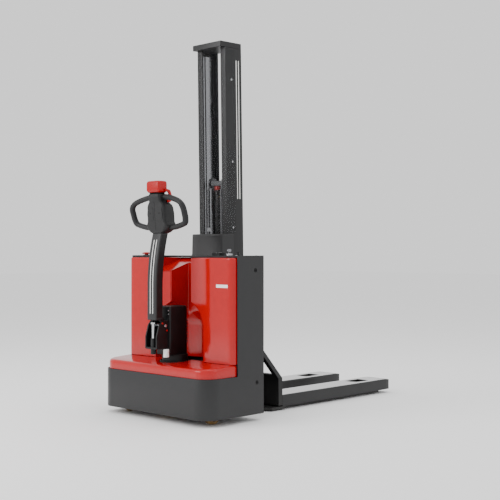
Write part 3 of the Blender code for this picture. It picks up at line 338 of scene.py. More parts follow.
def grid(points: np.ndarray, close_rows: bool = False, close_columns: bool = False) -> Shape:
    """Quads over a rows x columns x 3 array of points.

    Args:
        points: the array.
        close_rows: join the last row to the first.
        close_columns: join the last column to the first.

    Returns:
        The surface.
    """
    rows, columns = points.shape[:2]
    faces = []
    for i in range(rows if close_rows else rows - 1):
        k = (i + 1) % rows
        for j in range(columns if close_columns else columns - 1):
            m = (j + 1) % columns
            faces.append((i * columns + j, i * columns + m, k * columns + m, k * columns + j))
    return Shape(points.reshape(-1, 3), faces)


def loft(rings: Sequence[Sequence[Point]]) -> Shape:
    """A closed solid through rings with equal numbers of points.

    Args:
        rings: the rings, in order along the solid.

    Returns:
        The solid, capped at both ends.
    """
    points = np.array(rings, float)
    shape = grid(points, close_columns=True)
    count = points.shape[1]
    last = len(shape.points) - count
    shape.faces.append(tuple(reversed(range(count))))
    shape.faces.append(tuple(range(last, last + count)))
    return shape


def prism(outline: Sequence[Point], low: float, high: float, axis: str = "Z") -> Shape:
    """Extrude an outline of (a, b) points along an axis."""
    flat = np.array(outline, float)
    return loft([np.column_stack([flat, np.full(len(flat), t)])[:, PRISM_AXES[axis]] for t in (low, high)])


def block(low: Point, high: Point) -> Shape:
    """A box between two corners."""
    return prism([(low[0], low[1]), (high[0], low[1]), (high[0], high[1]), (low[0], high[1])], low[2], high[2])


def turned(profile: Sequence[Point], axis: str, sides: int) -> np.ndarray:
    """Rows of points round an axis: (radius, height) becomes r cos t, r sin t, h at each angle t.

    Args:
        profile: (radius, height) points.
        axis: X, Y or Z.
        sides: how many steps round.

    Returns:
        A profile x sides x 3 array.
    """
    flat = np.array(profile, float)
    turn = np.linspace(0, math.tau, sides, endpoint=False)
    points = np.stack([np.outer(flat[:, 0], np.cos(turn)), np.outer(flat[:, 0], np.sin(turn)),
                       np.repeat(flat[:, 1:2], sides, axis=1)], axis=2)
    return points[:, :, TURNED_AXES[axis]]


def lathe(profile: Sequence[Point], centre: Point = (0, 0, 0), axis: str = "Z", sides: int = 48) -> Shape:
    """Revolve an open (radius, height) profile, and cap each end that stands off the axis.

    Args:
        profile: (radius, height) points.
        centre: where height 0 on the axis lies.
        axis: X, Y or Z.
        sides: how many steps round.

    Returns:
        The turned solid.
    """
    shape = grid(turned(profile, axis, sides), close_columns=True)
    if profile[0][0] > 1e-6:
        shape.faces.append(tuple(reversed(range(sides))))
    if profile[-1][0] > 1e-6:
        last = len(shape.points) - sides
        shape.faces.append(tuple(range(last, last + sides)))
    return shape.moved(*centre)


def ring_lathe(section: Sequence[Point], centre: Point = (0, 0, 0), axis: str = "Z", sides: int = 48) -> Shape:
    """Revolve a closed (radius, height) section that doesn't touch the axis."""
    return grid(turned(section, axis, sides), close_rows=True, close_columns=True).moved(*centre)


def disc(radius: float, low: float, high: float, centre: Point = (0, 0, 0), axis: str = "Z",
         sides: int = 48) -> Shape:
    """A plain solid cylinder between two heights along an axis."""
    return lathe([(0, low), (radius, low), (radius, high), (0, high)], centre, axis, sides)


def sleeve(inner: float, outer: float, low: float, high: float, centre: Point = (0, 0, 0), axis: str = "Z",
           sides: int = 48) -> Shape:
    """A plain tube between two heights along an axis."""
    return ring_lathe([(inner, low), (outer, low), (outer, high), (inner, high)], centre, axis, sides)


def both_ways(half: Sequence[Point]) -> Outline:
    """A (radius, height) section that is the same above and below height 0, from its upper half."""
    return [(r, -h) for r, h in reversed(half)] + list(half)


def tyre(inner: float, outer: float, half_width: float, chamfer: Point) -> Outline:
    """Section of a tread with rounded shoulders."""
    return both_ways([(outer, half_width - 0.006), (outer - chamfer[0], half_width - chamfer[1]),
                      (outer - 0.006, half_width), (inner, half_width)])


def arc(centre: Point, radius: float, start: float, end: float, steps: int) -> Outline:
    """Points on an arc, angles in degrees."""
    turns = np.radians(np.linspace(start, end, steps + 1))
    return [(centre[0] + radius * math.cos(t), centre[1] + radius * math.sin(t)) for t in turns]


def rounded(corners: Sequence[Point], radius: float | Point, steps: int = 6 ) -> Outline:
    """Round the corners of a closed outline: each is replaced by an arc that touches both sides.

    Args:
        corners: the outline's corners.
        radius: one radius, or one for each corner; 0 leaves it sharp.
        steps: spans in each arc.

    Returns:
        The rounded outline.
    """
    count = len(corners)
    radii = [radius] * count if isinstance(radius, (int, float)) else list(radius)
    result: Outline = []
    for i in range(count):
        here = np.array(corners[i], float)
        back = np.array(corners[i - 1], float) - here
        ahead = np.array(corners[(i + 1) % count], float) - here
        if radii[i] <= 0:
            result.append((here[0], here[1]))
            continue
        u, v = back / np.linalg.norm(back), ahead / np.linalg.norm(ahead)
        half = math.acos(max(-1.0, min(1.0, float(u @ v)))) / 2
        if half > math.pi / 2 - 0.01:
            result.append((here[0], here[1]))
            continue
        reach = radii[i] / math.tan(half)
        reach = min(reach, np.linalg.norm(back) * 0.49, np.linalg.norm(ahead) * 0.49)
        size = reach * math.tan(half)
        middle = here + (u + v) / np.linalg.norm(u + v) * size / math.sin(half)
        first, last = here + u * reach - middle, here + v * reach - middle
        for k in range(steps + 1):
            t = k / steps
            angle = math.acos(max(-1.0, min(1.0, float(first @ last) / (size * size))))
            if angle < 1e-6:
                mixed = first
            else:
                mixed = (math.sin((1 - t) * angle) * first + math.sin(t * angle) * last) / math.sin(angle)
            result.append(tuple(middle + mixed))
    return result


def rectangle(half: float, front: float, rear: float, radius: float | Point, steps: int) -> Outline:
    """A rounded rectangle, centred across and running from front to rear."""
    return rounded([(-half, front), (half, front), (half, rear), (-half, rear)], radius, steps)


def stacked(levels: Iterable[tuple[float, float, float, float, float | Point]], steps: int) -> Shape:
    """A solid through rounded rectangles, each given as half width, front, rear, height and radius."""
    return loft([[(x, y, z) for x, y in rectangle(half, front, rear, radius, steps)]
                 for half, front, rear, z, radius in levels])


def wall(path: Sequence[Point], section: Sequence[Point]) -> Shape:
    """A standing wall: section (outward offset, height) points are set along each path point's normal.

    Args:
        path: plan points (x, y), walked with the outside on the right.
        section: the wall's closed section.

    Returns:
        A closed solid with capped ends.
    """
    plan = np.array(path, float)
    ahead = np.vstack([plan[1:] - plan[:-1], plan[-1:] - plan[-2:-1]])
    ahead /= np.linalg.norm(ahead, axis=1)[:, None]
    behind = np.vstack([ahead[:1], ahead[:-1]])
    mean = ahead + behind
    mean /= np.linalg.norm(mean, axis=1)[:, None]
    stretch = 1 / np.maximum(0.3, (mean * ahead).sum(1))
    normal = np.column_stack([mean[:, 1], -mean[:, 0]]) * stretch[:, None]
    cut = np.array(section, float)
    return loft([np.column_stack([point[0] + out[0] * cut[:, 0], point[1] + out[1] * cut[:, 0], cut[:, 1]])
                 for point, out in zip(plan, normal)])


def smooth_path(points: Sequence[Point], steps: int = 10) -> np.ndarray:
    """A Catmull-Rom curve: each span is a cubic through its ends, with slopes from the neighbours.

    Args:
        points: the points to pass through.
        steps: spans between two of them.

    Returns:
        N x 3 points on the curve.
    """
    p = np.array(points, float)
    padded = np.vstack([2 * p[0] - p[1], p, 2 * p[-1] - p[-2]])
    t = np.linspace(0, 1, steps, endpoint=False)[:, None]
    spans = []
    for i in range(len(p) - 1):
        a, b, c, d = padded[i:i + 4]
        spans.append(0.5 * (2 * b + (c - a) * t + (2 * a - 5 * b + 4 * c - d) * t ** 2
                            + (3 * b - a - 3 * c + d) * t ** 3))
    return np.vstack(spans + [p[-1:]])


def tube(path: np.ndarray, radius: float | Point, sides: int = 20) -> Shape:
    """A round bar along a path, turned as little as possible from one point to the next.

    Args:
        path: N x 3 points along the middle.
        radius: one radius, or one for each point.
        sides: how many steps round.

    Returns:
        The bar, capped at both ends.
    """
    path = np.array(path, float)
    radii = np.full(len(path), radius) if isinstance(radius, (int, float)) else np.array(radius, float)
    tangent = np.gradient(path, axis=0)
    tangent /= np.linalg.norm(tangent, axis=1)[:, None]
    up = np.array([0.0, 1.0, 0.0]) if abs(tangent[0][1]) < 0.9 else np.array([1.0, 0.0, 0.0])
    rings = []
    for point, along, r in zip(path, tangent, radii):
        side = np.cross(along, up)
        side /= np.linalg.norm(side)
        up = np.cross(side, along)
        t = np.linspace(0, math.tau, sides, endpoint=False)[:, None]
        rings.append(point + r * (np.cos(t) * side + np.sin(t) * up))
    return loft(rings)


def placed_head(head: Shape, centre: Point, axis: str, sign: int) -> Shape:
    """A fastener's head, turned to face sign along its axis and moved to its place.

    Args:
        head: the head, standing on height 0.
        centre: its place.
        axis: X, Y or Z.
        sign: which way it faces.

    Returns:
        The placed head.
    """
    head.points[:, "XYZ".index(axis)] *= sign
    if sign < 0:
        head.faces = [tuple(reversed(f)) for f in head.faces]
    return head.moved(*centre)


def hex_bolt(centre: Point, axis: str, size: float, height: float, sign: int = 1) -> Shape:
    """A hexagon head on a washer, its face towards sign along the axis.

    Args:
        centre: the middle of the seat.
        axis: X, Y or Z.
        size: width of the head.
        height: height over the seat.
        sign: which way it faces.

    Returns:
        The washer and head.
    """
    washer = lathe([(0, 0), (size * 0.78, 0), (size * 0.78, height * 0.22), (0, height * 0.22)], axis=axis,
                   sides=24)
    turns = np.radians(np.arange(0, 360, 60) + 15)
    rings = []
    for level, scale in ((0.2, 1.0), (0.88, 1.0), (1.0, 0.88)):
        ring = np.column_stack([np.cos(turns) * size * 0.58 * scale, np.sin(turns) * size * 0.58 * scale,
                                np.full(6, level * height)])
        rings.append(ring[:, TURNED_AXES[axis]])
    return placed_head(washer + loft(rings), centre, axis, sign)


def socket_screw(centre: Point, axis: str, radius: float, height: float, sign: int = 1) -> Shape:
    """A round screw head with a recessed socket.

    Args:
        centre: the middle of the seat.
        axis: X, Y or Z.
        radius: of the head.
        height: over the seat.
        sign: which way it faces.

    Returns:
        The head.
    """
    profile = [(0, 0), (radius, 0), (radius, height * 0.8), (radius * 0.9, height), (radius * 0.5, height),
               (radius * 0.45, height * 0.45), (0, height * 0.4)]
    return placed_head(lathe(profile, axis=axis, sides=20), centre, axis, sign)


# ---------------------------------------------------------------- workshop
class Workshop:
    """Turns shapes into objects that ride on the frame's bodies."""

    def __init__(self) -> None:
        """Start with an empty paint shop."""
        self.paint = Paint()

    @staticmethod
    def to_row(points: np.ndarray, space: Space) -> np.ndarray:
        """Carry points from their own space into the row frame.
        Args:
            points: N x 3 points.
            space: whose coordinates they are in.
        Returns:
            N x 3 points in the row frame.
        """
        out = np.array(points, float)
        if space is Space.MAST:
            y, z = out[:, 1].copy(), out[:, 2].copy()
            out[:, 1] = MAST_Y + y * math.cos(MAST_LEAN) - z * math.sin(MAST_LEAN)
            out[:, 2] = y * math.sin(MAST_LEAN) + z * math.cos(MAST_LEAN)
        out[:, 1] -= LENGTH / 2
        return out

    def make(self, name: str, shape: Shape, finish: Finish, body: str, space: Space = Space.MACHINE,
             bevel: float = 0.0, segments: int = 2, replaces: Sequence[str] = (), slot: Optional[str] = None,
             angle: float = 32.0) -> bpy.types.Object:
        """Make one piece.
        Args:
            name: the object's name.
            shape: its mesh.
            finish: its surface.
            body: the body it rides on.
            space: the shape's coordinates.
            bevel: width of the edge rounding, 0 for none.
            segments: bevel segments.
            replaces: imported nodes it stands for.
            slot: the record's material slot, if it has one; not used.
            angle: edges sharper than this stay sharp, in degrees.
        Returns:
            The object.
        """
        mesh = bpy.data.meshes.new(name)
        mesh.from_pydata(self.to_row(shape.points, space).tolist(), [], shape.faces)
        mesh.validate()
        self.face_outwards(mesh)
        mesh.shade_smooth()
        mesh.set_sharp_from_angle(angle=math.radians(angle))
        mesh.materials.append(self.paint.get(finish))
        piece = bpy.data.objects.new(name, mesh)
        bpy.context.scene.collection.objects.link(piece)
        if bevel:
            rounding = piece.modifiers.new("edges", "BEVEL")
            rounding.width = bevel
            rounding.segments = segments
            rounding.limit_method = "ANGLE"
            rounding.angle_limit = BEVEL_ANGLE
            rounding.harden_normals = True
        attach(piece, body)
        if replaces:
            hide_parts(*replaces)
        log.info("made %-26s on %-14s %6d faces", name, body, len(mesh.polygons))
        return piece

    @staticmethod
    def face_outwards(mesh: bpy.types.Mesh) -> None:
        """Turn every shell's faces outwards.

        Args:
            mesh: the mesh to mend.
        """
        work = bmesh.new()
        work.from_mesh(mesh)
        bmesh.ops.recalc_face_normals(work, faces=work.faces)
        work.to_mesh(mesh)
        work.free()

    def dress(self, node: str, finish: Finish) -> None:
        """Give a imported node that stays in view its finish.
        Args:
            node: the node's name.
            finish: its surface.
        """
        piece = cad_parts[node]
        piece.data.materials.clear()
        piece.data.materials.append(self.paint.get(finish))
        log.info("dressed %s with %s", node, finish.name)


@dataclass
class Assembly:
    """A group of pieces that ride on one body unless told otherwise."""

    shop: Workshop
    body: ClassVar[str] = "chassis"
    space: ClassVar[Space] = Space.MACHINE

    def add(self, name: str, shape: Shape, finish: Finish, body: Optional[str] = None,
            **more: object ) -> bpy.types.Object:
        """Make one piece of the assembly.
        Args:
            name: the object's name.
            shape: its mesh.
            finish: its surface.
            body: the body it rides on, if not the assembly's own.
            more: anything else that Workshop.make takes.
        Returns:
            The object.
        """
        more.setdefault("space", self.space)
        return self.shop.make(name, shape, finish, body or self.body, **more)


# ---------------------------------------------------------------- power unit
@dataclass
class PowerUnit(Assembly):
    """Skirt, panels, red covers, top plate, boot and the controls on top."""

    half: float = WIDTH / 2
    sheet: float = 0.006
    skirt_low: float = 0.036
    skirt_high: float = 0.243
    skirt_corner: float = 0.095
    body_rear: float = 0.4176
    body_top: float = 0.867
    panel_front: float = 0.2245
    inset: float = 0.010
    deck_front_top: float = 0.292
    deck_rear_top: float = 0.3055
    deck_fillet: float = 0.016
    steer_y: float = 0.172
    deck_hole: float = 0.0825
    upright_front: float = 0.191
    upright_corner: float = 0.032
    upright_top: float = 0.8552
    shoulder: float = 0.262
    lip_x: float = 0.078
    lip_y: float = 0.212
    recess_y: float = 0.335
    pocket_radius: float = 0.192
    pocket_top: float = 0.630
    pocket_rise: float = 0.150
    scoop_left: float = -0.215
    scoop_right: float = 0.074
    scoop_foot: float = 0.775
    scoop_slope: float = 0.35
    scoop_rear: float = 0.386
    rear_gap: float = 0.0065
    boot_top: float = 0.985

    def build(self) -> None:
        """Build every piece of the power unit."""
        self.build_skirt()
        self.build_deck()
        self.build_upright()
        self.build_scoop()
        self.build_top_plate()
        self.build_boot()
        self.build_controls()
        self.build_marks()
        self.dress_inside()

    def build_skirt(self) -> None:
        """The sheet-steel skirt: one band round the front and two side sheets, flush with it."""
        corner = self.skirt_corner
        straight = self.half - corner
        plan = [(-self.half, corner)]
        plan += arc((-straight, corner), corner, 180, 270, 28)[1:]
        plan += [(x, 0.0) for x in np.linspace(-straight, straight, 9)[1:-1]]
        plan += arc((straight, corner), corner, -90, 0, 28)
        section = rounded([(0, self.skirt_low), (0, self.skirt_high), (-self.sheet, self.skirt_high),
                           (-self.sheet, self.skirt_low)], 0.0012, 3)
        self.add("skirt_band", wall(plan, section), CHASSIS_GREY, replaces=["skirt_cover"], slot="grey_paint")
        side = rounded([(corner, self.skirt_low), (self.body_rear, self.skirt_low),
                        (self.body_rear, self.body_top), (self.panel_front, self.body_top),
                        (self.panel_front, self.skirt_high), (corner, self.skirt_high)],
                       [0, 0.003, 0.004, 0.004, 0.006, 0], 4)
        bolts = ((0.355, 0.790), (0.366, 0.202))
        for sign, name in SIDES:
            low, high = sorted((sign * self.half, sign * (self.half - self.sheet)))
            self.add("side_sheet_" + name, prism(side, low, high, "X"), CHASSIS_GREY,
                     replaces=["side_panel_" + name], slot="grey_paint")
            heads = total(hex_bolt((sign * (self.half - 0.003), y, z), "X", 0.0085, 0.0048, sign)
                          for y, z in bolts)
            # Black rings flush with each panel round its bolts: painted shade standing in for the shade of a
            # dimple round each bolt
            bolt_shade_rings = total(sleeve(0.0068, 0.0105, 0, -0.0008, (sign * self.half, y, z), "X", 32)
                            for y, z in bolts)
            for shape in (heads, bolt_shade_rings):
                shape.points[:, 0] = np.clip(shape.points[:, 0], -self.half, self.half)
            self.add("panel_bolts_" + name, heads, ZINC)
            self.add("panel_bolt_shade_rings_" + name, bolt_shade_rings, BLACK_PLASTIC)
        rear = rectangle(self.half - self.sheet - 0.0005, 0.060, 0.8545, 0.003, 3)
        self.add("rear_sheet", prism(rear, self.body_rear - self.sheet, self.body_rear, "Y"), CHASSIS_GREY,
                 replaces=["rear_panel"], slot="grey_paint", bevel=0.0008)
        screws = total(socket_screw((x, self.body_rear - 0.0005, z), "Y", 0.0055, 0.0032)
                       for x in (-0.385, 0.385) for z in (0.10, 0.30, 0.52, 0.74))
        self.add("rear_screws", screws, ZINC)
        slats = total(block((sign * 0.30 - 0.06, self.body_rear - 0.0006, 0.62 + 0.014 * i),
                            (sign * 0.30 + 0.06, self.body_rear + 0.0006, 0.627 + 0.014 * i))
                      for sign in (-1, 1) for i in range(6))
        self.add("rear_vents", slats, BLACK_PLASTIC, bevel=0.0005, segments=1)

    def deck_level(self, y: float) -> float:
        """Height of the deck's sloping top at y."""
        slope = (self.deck_rear_top - self.deck_front_top) / (self.panel_front - self.inset)
        return self.deck_front_top + slope * (y - self.inset)

    def deck_outline(self, inset: float) -> Outline:
        """Plan of the deck, with the rounded notch for the drive collar, moved in by inset.

        Args:
            inset: how far the outline is moved in.

        Returns:
            The closed outline.
        """
        half = self.half - self.inset - inset
        corner = self.skirt_corner - self.inset - inset
        front = self.inset + inset
        rear = self.panel_front - 0.0005
        hole = self.deck_hole + min(inset, 0.006)
        points = arc((half - corner, front + corner), corner, -90, 0, 24)
        points.append((half, rear))
        angle = math.degrees(math.asin((rear - self.steer_y) / hole))
        bore = arc((0, self.steer_y), hole, angle, -90, 20)
        points += [(0.3, rear), (0.2, rear)] + bore
        return points + [(-x, y) for x, y in reversed(points[:-1])]

    def build_deck(self) -> None:
        """The deck moulding: straight sides, quarter-round shoulder, sloping top, and a black ring in the
        collar's gap, painted shade.
        """
        rings = [[(x, y, self.skirt_high + GAP) for x, y in self.deck_outline(0.0)]]
        steps = 8
        for i in range(steps + 1):
            turn = math.pi / 2 * i / steps
            inset = self.deck_fillet * (1 - math.cos(turn))
            drop = self.deck_fillet * (1 - math.sin(turn))
            rings.append([(x, y, self.deck_level(y) - drop) for x, y in self.deck_outline(inset)])
        self.add("deck_moulding", loft(rings), GLOSS_RED, replaces=["deck_cover"], slot="red_cover", angle=40)
        # Black ring filling the gap between the deck hole and the drive collar: painted shade for the dark
        # opening
        seal = ring_lathe([(0.0725, 0.286), (0.0815, 0.286), (0.0815, 0.3035), (0.079, 0.3055),
                           (0.0725, 0.302)], (0, self.steer_y, 0), sides=64)
        self.add("collar_gap_shade_ring", seal, RUBBER)

    def upright_plan(self) -> np.ndarray:
        """Plan of the upright from its left rear edge to its right rear edge, closely spaced.

        Returns:
            N x 2 plan points.
        """
        half = self.half - self.inset
        r = self.upright_corner
        lip = 0.010
        right: Outline = [(x, self.recess_y) for x in np.linspace(0, self.lip_x - 0.022, 12)]
        corner_in = rounded([(self.lip_x - 0.022, self.recess_y), (self.lip_x - 0.0045, self.recess_y),
                             (self.lip_x, self.lip_y + lip)], [0, 0.014, 0], 8)
        right += corner_in[1:-1]
        foot = np.array(right[-1])
        head = np.array([self.lip_x, self.lip_y + lip])
        right += [tuple(foot + (head - foot) * t) for t in np.linspace(0.08, 1, 16)]
        right += arc((self.lip_x + lip, self.lip_y + lip), lip, 180, 262, 12)[1:]
        start_x = right[-1][0]
        start_y = right[-1][1]
        for t in np.linspace(0, 1, 60)[1:]:
            bow = math.sin(math.pi / 2 * t) ** 2
            x = start_x + (self.shoulder - start_x) * t
            right.append((x, start_y + (self.upright_front - start_y) * bow))
        right += [(x, self.upright_front) for x in np.linspace(self.shoulder, half - r, 14)[1:]]
        right += arc((half - r, self.upright_front + r), r, -90, 0, 14)[1:]
        right += [(half, y) for y in np.linspace(self.upright_front + r, self.body_rear - self.rear_gap,
                12)[1:]]
        both = [(-x, y) for x, y in reversed(right[1:])] + right
        return np.array(both)

    def build_upright(self) -> None:
        """The tall moulding.
        Its plan is lifted from the deck to the top. Within the pocket's radius about the steering
        axis a point moves straight out from that axis, r' = (r + R + sqrt((r - R)^2 + k^2)) / 2,
        which blends the pocket into the panels with a soft edge.
        """
        plan = self.upright_plan()
        step = np.gradient(plan, axis=0)
        step /= np.linalg.norm(step, axis=1)[:, None]
        inward = np.column_stack([-step[:, 1], step[:, 0]])
        fillet = 0.008
        levels = list(np.linspace(self.deck_rear_top, 0.46, 14))
        levels += list(np.linspace(0.46, 0.64, 50)[1:])
        levels += list(np.linspace(0.64, self.upright_top - fillet, 18)[1:])
        scoop = self.in_scoop(plan)
        limit = np.where(scoop, self.ramp_level(plan[:, 1]) - 0.001, self.upright_top - fillet)
        rows = [self.pushed_out(plan, np.minimum(level, limit)) for level in levels]
        for turn in np.radians(np.linspace(0, 90, 7))[1:]:
            move = np.where(scoop, 0.0, fillet * (1 - math.cos(turn)))
            rise = np.where(scoop, 0.0, fillet * math.sin(turn))
            out = plan + inward * move[:, None]
            rows.append(np.column_stack([out, limit + rise]))
        rows.append(np.column_stack([plan + inward * np.where(scoop, 0.0, 0.02)[:, None],
                                     limit + np.where(scoop, 0.0, fillet)]))
        self.add("upright_moulding", grid(np.array(rows)), GLOSS_RED, replaces=["upright_cover"],
                 slot="red_cover", angle=50)

    def pushed_out(self, plan: np.ndarray, height: np.ndarray) -> np.ndarray:
        """Points of the plan at a height, moved out of the pocket around the steering axis.

        Args:
            plan: N x 2 plan points.
            height: the height of each.

        Returns:
            N x 3 points.
        """
        rise = np.clip((height - (self.pocket_top - self.pocket_rise)) / self.pocket_rise, 0, 1)
        radius = self.pocket_radius * np.sqrt(1 - rise ** 2)
        centre = np.array([0.0, self.steer_y])
        away = plan - centre
        reach = np.linalg.norm(away, axis=1)
        soft = np.where(radius > 0.001, 0.005, 0.0)
        wanted = 0.5 * (reach + radius + np.sqrt((reach - radius) ** 2 + soft ** 2))
        wanted = np.where(reach > radius + 0.05, reach, wanted)
        out = centre + away * (wanted / reach)[:, None]
        side = np.abs(plan[:, 0]) > self.half - self.inset - 0.045
        out = np.where(side[:, None], plan, out)
        return np.column_stack([out, height])

    def in_scoop(self, plan: np.ndarray) -> np.ndarray:
        """Which plan points the scoop cuts down: left of the recess and along its back wall."""
        x, y = plan[:, 0], plan[:, 1]
        return (x > self.scoop_left) & (x < self.scoop_right) & ((x < 0) | (y > self.lip_y + 0.10))

    def ramp_level(self, y: float | np.ndarray) -> float | np.ndarray:
        """Height of the scoop's sloping floor at y."""
        return self.scoop_foot + self.scoop_slope * (y - self.upright_front)

    def build_scoop(self) -> None:
        """The sloping hand-hold beside the recess and over its back wall, with its left side wall."""
        plan = self.upright_plan()
        edge = plan[self.in_scoop(plan)]
        rear = self.body_rear - self.rear_gap
        first = (self.scoop_left, edge[0][1])
        outline = [first] + [tuple(p) for p in edge] + [(edge[-1][0], rear), (self.scoop_left, rear)]
        ramp = loft([[(x, y, self.ramp_level(y) - drop) for x, y in outline] for drop in (0.004, 0.0)])
        self.add("scoop_ramp", ramp, GLOSS_RED, angle=30)
        for x, name in ((self.scoop_left, "left"), (self.scoop_right + 0.0035, "right")):
            front = float(np.interp(abs(x), [self.lip_x, self.shoulder],
                                    [self.lip_y + 0.012, self.upright_front]))
            front = front + (0.004 if x < 0 else 0.02)
            foot = self.ramp_level(front)
            top = self.upright_top - 0.0005
            side = [(front, foot - 0.003), (rear, self.ramp_level(rear) - 0.003), (rear, top),
                    (front + 0.006, top), (front, top - 0.006)]
            low, high = (x - 0.004, x + 0.0002) if x < 0 else (x - 0.0002, x + 0.004)
            self.add("scoop_side_" + name, prism(side, low, high, "X"), GLOSS_RED, bevel=0.001)

    def build_top_plate(self) -> None:
        """The grey top plate with its notch over the scoop."""
        half = self.half - self.sheet - 0.0005
        front = self.upright_front + 0.020
        corners = [(self.scoop_right + 0.002, front), (half, front), (half, self.body_rear),
                   (-half, self.body_rear), (-half, front), (self.scoop_left, front),
                   (self.scoop_left, self.scoop_rear), (self.scoop_right + 0.002, self.scoop_rear)]
        outline = rounded(corners, [0.006, 0.026, 0.002, 0.002, 0.026, 0.006, 0.006, 0.006], 8)
        self.add("top_plate", prism(outline, 0.8556, self.body_top - 0.001), CHASSIS_GREY,
                 replaces=["top_cover"], slot="grey_paint", bevel=0.0015)
        plan = self.upright_plan()
        right = plan[(plan[:, 0] > self.scoop_right + 0.004) & (plan[:, 1] < 0.30)]
        left = plan[(plan[:, 0] < self.scoop_left - 0.001) & (plan[:, 1] < 0.30)]
        lip = [(-0.0095, 0.8520), (-0.0068, 0.8520), (-0.0068, 0.8600), (-0.0095, 0.8600)]
        self.add("top_seal", total([wall(left, lip), wall(right, lip)]), RUBBER)
        screws = total(socket_screw((x, y, self.body_top - 0.0015), "Z", 0.005, 0.003) for x in (-0.395, 0.395)
                       for y in (0.245, 0.395))
        self.add("top_screws", screws, ZINC)

    def build_boot(self) -> None:
        """The faceted boot round the mast: walls with a flared foot and a turned-in rim."""
        plan = [(-0.1200, 0.4995), (-0.1200, 0.4060), (-0.0565, 0.3915), (0.0565, 0.3915), (0.1200, 0.4060),
                (0.1200, 0.4995)]
        fine: Outline = []
        for a, b in zip(plan, plan[1:]):
            a, b = np.array(a), np.array(b)
            span = np.linalg.norm(b - a)
            trim = 0.006 / span
            fine += [tuple(a + (b - a) * trim), tuple(a + (b - a) * (1 - trim))]
        fine[0], fine[-1] = plan[0], plan[-1]
        low, high = self.body_top - 0.0008, self.boot_top
        section = [(0.0045, low), (0.0045, low + 0.003), (0.002, low + 0.008), (0.000, high - 0.012),
                   (-0.0005, high - 0.004), (-0.0025, high - 0.0005), (-0.0045, high), (-0.0052, high - 0.003),
                   (-0.0045, high - 0.010), (-0.003, low)]
        self.add("boot_shell", wall(fine, section), CHASSIS_GREY, replaces=["mast_boot"], slot="dark_paint",
                 angle=30)
        lid = [(-0.1145, 0.4110), (-0.0545, 0.3965), (0.0545, 0.3965), (0.1145, 0.4110), (0.1145, 0.4540),
               (-0.1145, 0.4540)]
        self.add("boot_lid", prism(lid, high - 0.010, high - 0.007), RUBBER)
        screws = total(socket_screw((sign * 0.1200, 0.450, 0.893), "X", 0.0045, 0.003, sign)
                       for sign in (-1, 1))
        self.add("boot_screws", screws, ZINC)

    def build_controls(self) -> None:
        """Battery gauge, key switch, stop button, horn knob and cable gland."""
        z = self.body_top
        bezel = rounded([(0.205, 0.248), (0.268, 0.248), (0.268, 0.292), (0.205, 0.292)], 0.005, 5)
        self.add("gauge_body", prism(bezel, z - 0.0005, z + 0.0150), BLACK_PLASTIC, bevel=0.0015,
                 replaces=["battery_gauge"], slot="black_plastic")
        lens = rounded([(0.213, 0.256), (0.260, 0.256), (0.260, 0.284), (0.213, 0.284)], 0.003, 4)
        self.add("gauge_lens", prism(lens, z + 0.0148, z + 0.0158), LENS, bevel=0.0003, segments=1)
        bars = total(block((0.218 + 0.008 * i, 0.266, z + 0.0156), (0.223 + 0.008 * i, 0.274, z + 0.0161))
                     for i in range(5))
        self.add("gauge_bars", bars, PRINT_WHITE)
        collar = lathe([(0, z), (0.0170, z), (0.0170, z + 0.0070), (0.0155, z + 0.0092), (0.0110, z + 0.0092),
                        (0.0105, z + 0.0080), (0, z + 0.0080)], (0.318, 0.270, 0))
        barrel = disc(0.0085, z + 0.0082, z + 0.0110, (0.318, 0.270, 0), sides=32)
        self.add("key_collar", collar, ZINC, angle=30)
        bow = rounded([(0.258, z + 0.0185), (0.282, z + 0.0185), (0.2835, z + 0.0340), (0.2565, z + 0.0340)],
                      0.006, 6)
        key = barrel + prism(bow, 0.3163, 0.3197, "X") + block((0.3167, 0.2655, z + 0.0105),
                (0.3193, 0.2745, z + 0.0190))
        self.add("key_and_barrel", key, GROUND_STEEL, "key", replaces=["key_switch"], slot="bright_steel",
                 bevel=0.0006)
        skirt = ring_lathe([(0.0150, z - 0.0005), (0.0215, z - 0.0005), (0.0205, z + 0.0024),
                            (0.0155, z + 0.0024)], (-0.345, 0.262, 0))
        self.add("stop_collar", skirt, BLACK_PLASTIC)
        profile = [(0, z - 0.004), (0.0120, z - 0.004), (0.0120, z + 0.0070), (0.0235, z + 0.0075)]
        profile += [(0.0258 * math.cos(t), z + 0.0100 + 0.0084 * math.sin(t))
                    for t in np.radians(range(0, 90, 9))]
        profile += [(0, z + 0.0184)]
        self.add("stop_mushroom", lathe(profile, (-0.345, 0.262, 0)), SIGNAL_RED, "stop_button",
                 replaces=["emergency_stop"], slot="red_plastic", angle=40)
        knob = lathe([(0, z), (0.008, z), (0.008, z + 0.006), (0.0065, z + 0.0075), (0, z + 0.0075)],
                     (0.288, 0.268, 0), sides=28)
        self.add("horn_knob", knob, BLACK_PLASTIC)
        gland = lathe([(0, z - 0.001), (0.011, z - 0.001), (0.011, z + 0.006), (0.0075, z + 0.011),
                       (0.0075, z + 0.018), (0, z + 0.018)], (0.352, 0.300, 0), sides=24)
        self.add("cable_gland", gland, BLACK_PLASTIC)

    def build_marks(self) -> None:
        """A blank film label on the right front panel, bent to follow the panel."""
        plan = self.upright_plan()
        face = plan[(plan[:, 0] > self.lip_x + 0.010) & (plan[:, 1] < self.lip_y)]
        columns = []
        for x in np.linspace(0.300, 0.385, 16):
            y = float(np.interp(x, face[:, 0], face[:, 1]))
            columns.append([(x, y - 0.0004, 0.700), (x, y - 0.0004, 0.716), (x, y, 0.716), (x, y, 0.700)])
        self.add("blank_label", loft(columns), PRINT_WHITE)

